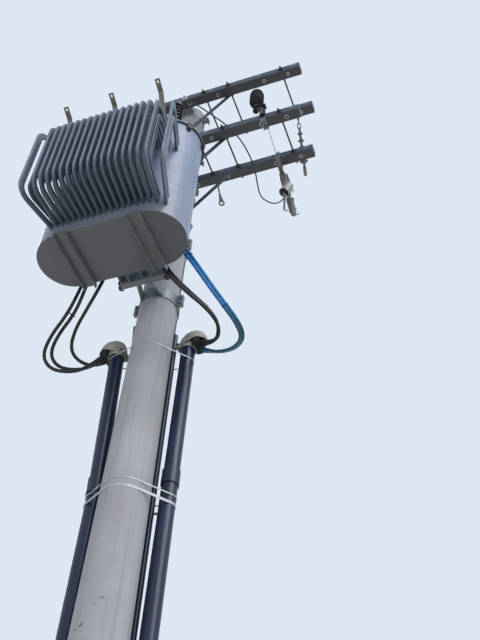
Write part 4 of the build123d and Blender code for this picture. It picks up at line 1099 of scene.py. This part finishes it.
# Weld beads round the roots of the cooling tubes
tube_depth = 0.056
tube_width = 0.020
tube_pitch = 0.049
tube_count = 17
tube_places = [-0.429, *(-0.380 + i * tube_pitch for i in range(tube_count)), 0.455]
tube_levels = (7.047, 7.131, 7.770, 7.854)
bead_stand = 0.002
bead_r = 0.0042
tank_middle = (tank_low + tank_high) / 2
tank_round = (tank_high.y - tank_low.y) / 2
tank_straight = (tank_high.x - tank_low.x) / 2 - tank_round
beads = Shape()
for x in tube_places:
    into_end = max(abs(x - tank_middle.x) - tank_straight, 0)
    wall_y = tank_middle.y - math.sqrt(tank_round**2 - into_end**2)
    out = Vector((math.copysign(into_end, x - tank_middle.x), wall_y - tank_middle.y, 0)).normalized()
    for z in tube_levels:
        spot = (x, wall_y - bead_stand, z)
        beads.loop(spot, out, tube_width / 2 + bead_stand, bead_r, 20, up, tube_depth / tube_width)
beads.show("tube_welds", shaded_tube_paint, "tank_paint")

# Thin tube up the left of the pole, and the upper end of the one on the right
thin_tube = ((-0.16, 0.165, 0.003), (-0.163, 0.09, 5.3), (-0.174, 0.03, 6.6), (-0.181, 0.004, 6.88))
thin_tube_r = 0.011
wire_tube_r = 0.0205
side_tubes = Shape()
side_tubes.tube([*thin_tube, (-0.182, 0, 6.921)], thin_tube_r, 16)
side_tubes.tube([(0.127, 0.117, 6.69), (0.124, 0.115, 6.84)], wire_tube_r, 24)
side_tubes.show("side_tubes", navy_plastic, "conduit")

# Bands round the pole between the crossarms, with bolted ears, and the bolts that pass from arm to arm
band_heights = (9.14, 9.93)
band_half = 0.025
band_inner = 0.0005
band_outer = 0.006
ear_reach = 0.036
bolt_reach = 0.014
bands = Shape()
for z in band_heights:
    radius = pole_foot_r - pole_thinning * z
    inner, outer = radius + band_inner, radius + band_outer
    ring = [(inner, -band_half), (outer, -band_half), (outer, band_half), (inner, band_half)]
    bands.turned(ring, (0, 0, z), steps=64, closed=True)
    for side in sides:
        ear_x = side * (radius + ear_reach)
        bolt_x = ear_x + side * bolt_reach
        bands.tube([(bolt_x, -0.055, z), (bolt_x, 0.05, z)], 0.0065, 12)
        for way in sides:
            bands.slab((0.066, 0.006, 2 * band_half), (ear_x, way * 0.013, z), edge=0.001)
            bands.nut((bolt_x, way * 0.016, z), (0, way, 0), *nut_16, washer=0.034)
bands.show("pole_bands")
bolts = Shape()
for name in ("upper_front", "lower_front"):
    low, high = arms[name]
    spot = Vector((0.028, low.y - 0.003, (low.z + high.z) / 2 - 0.006))
    bolts.slab((0.056, 0.006, 0.056), spot, edge=0.002)
    bolts.nut(spot + Vector((0, -0.003, 0)), (0, -1, 0), 0.03, 0.014, stud=0.014, washer=0.04)
bolts.show("middle_bolts", sunlit_steel, "galvanised")

# Ground, backdrop and light
floor_reach = 20
floor_data = bpy.data.meshes.new("floor")
floor_corners = [(x * floor_reach, y * floor_reach, 0) for x, y in ((-1, -1), (1, -1), (1, 1), (-1, 1))]
floor_data.from_pydata(floor_corners, [], [(0, 1, 2, 3)])
floor = bpy.data.objects.new("floor", floor_data)
scene.collection.objects.link(floor)
floor_look = Look("floor_pale", roughness=0.9)
floor_colour = floor_look.mix(floor_look.patches(1.2, 3, 0.3, 0.7), "dcdcda", "e4e4e2")
floor.data.materials.append(floor_look.finish(floor_colour))

world = bpy.data.worlds.new("studio")
scene.world = world
world.use_nodes = True
air = world.node_tree
shade = air.nodes["Background"]
shade.inputs["Color"].default_value = tone("dfe6f0")
shade.inputs["Strength"].default_value = 0.54
pale = add_node(air, "Background", {"Color": "dde7f3", "Strength": 1.0})
rays = [add_node(air, "LightPath", {}, kind) for kind in ("Is Camera Ray", "Is Glossy Ray")]
either = add_node(air, "Math", dict(enumerate(rays)), operation="MAXIMUM")
blend = add_node(air, "MixShader", {0: either, 1: shade.outputs["Background"], 2: pale})
air.links.new(blend, air.nodes["World Output"].inputs["Surface"])


def lamp(name, strength, spread, direction, colour):
    """A wide soft sun that shines along a direction."""
    data = bpy.data.lights.new(name, "SUN")
    data.energy = strength
    data.angle = math.radians(spread)
    data.color = colour
    made = bpy.data.objects.new(name, data)
    made.rotation_mode = "QUATERNION"
    made.rotation_quaternion = Vector(direction).to_track_quat("-Z", "Y")
    scene.collection.objects.link(made)


lamp("key", 1.5, 40, (-0.75, 0.45, -0.8), (1.0, 0.99, 0.97))
lamp("back", 1.1, 30, (0.55, -0.6, -0.75), (1.0, 0.99, 0.98))
lamp("fill", 0.4, 60, (0.2, 1.0, 0.15), (0.97, 0.98, 1.0))

scene.view_settings.view_transform = "Standard"
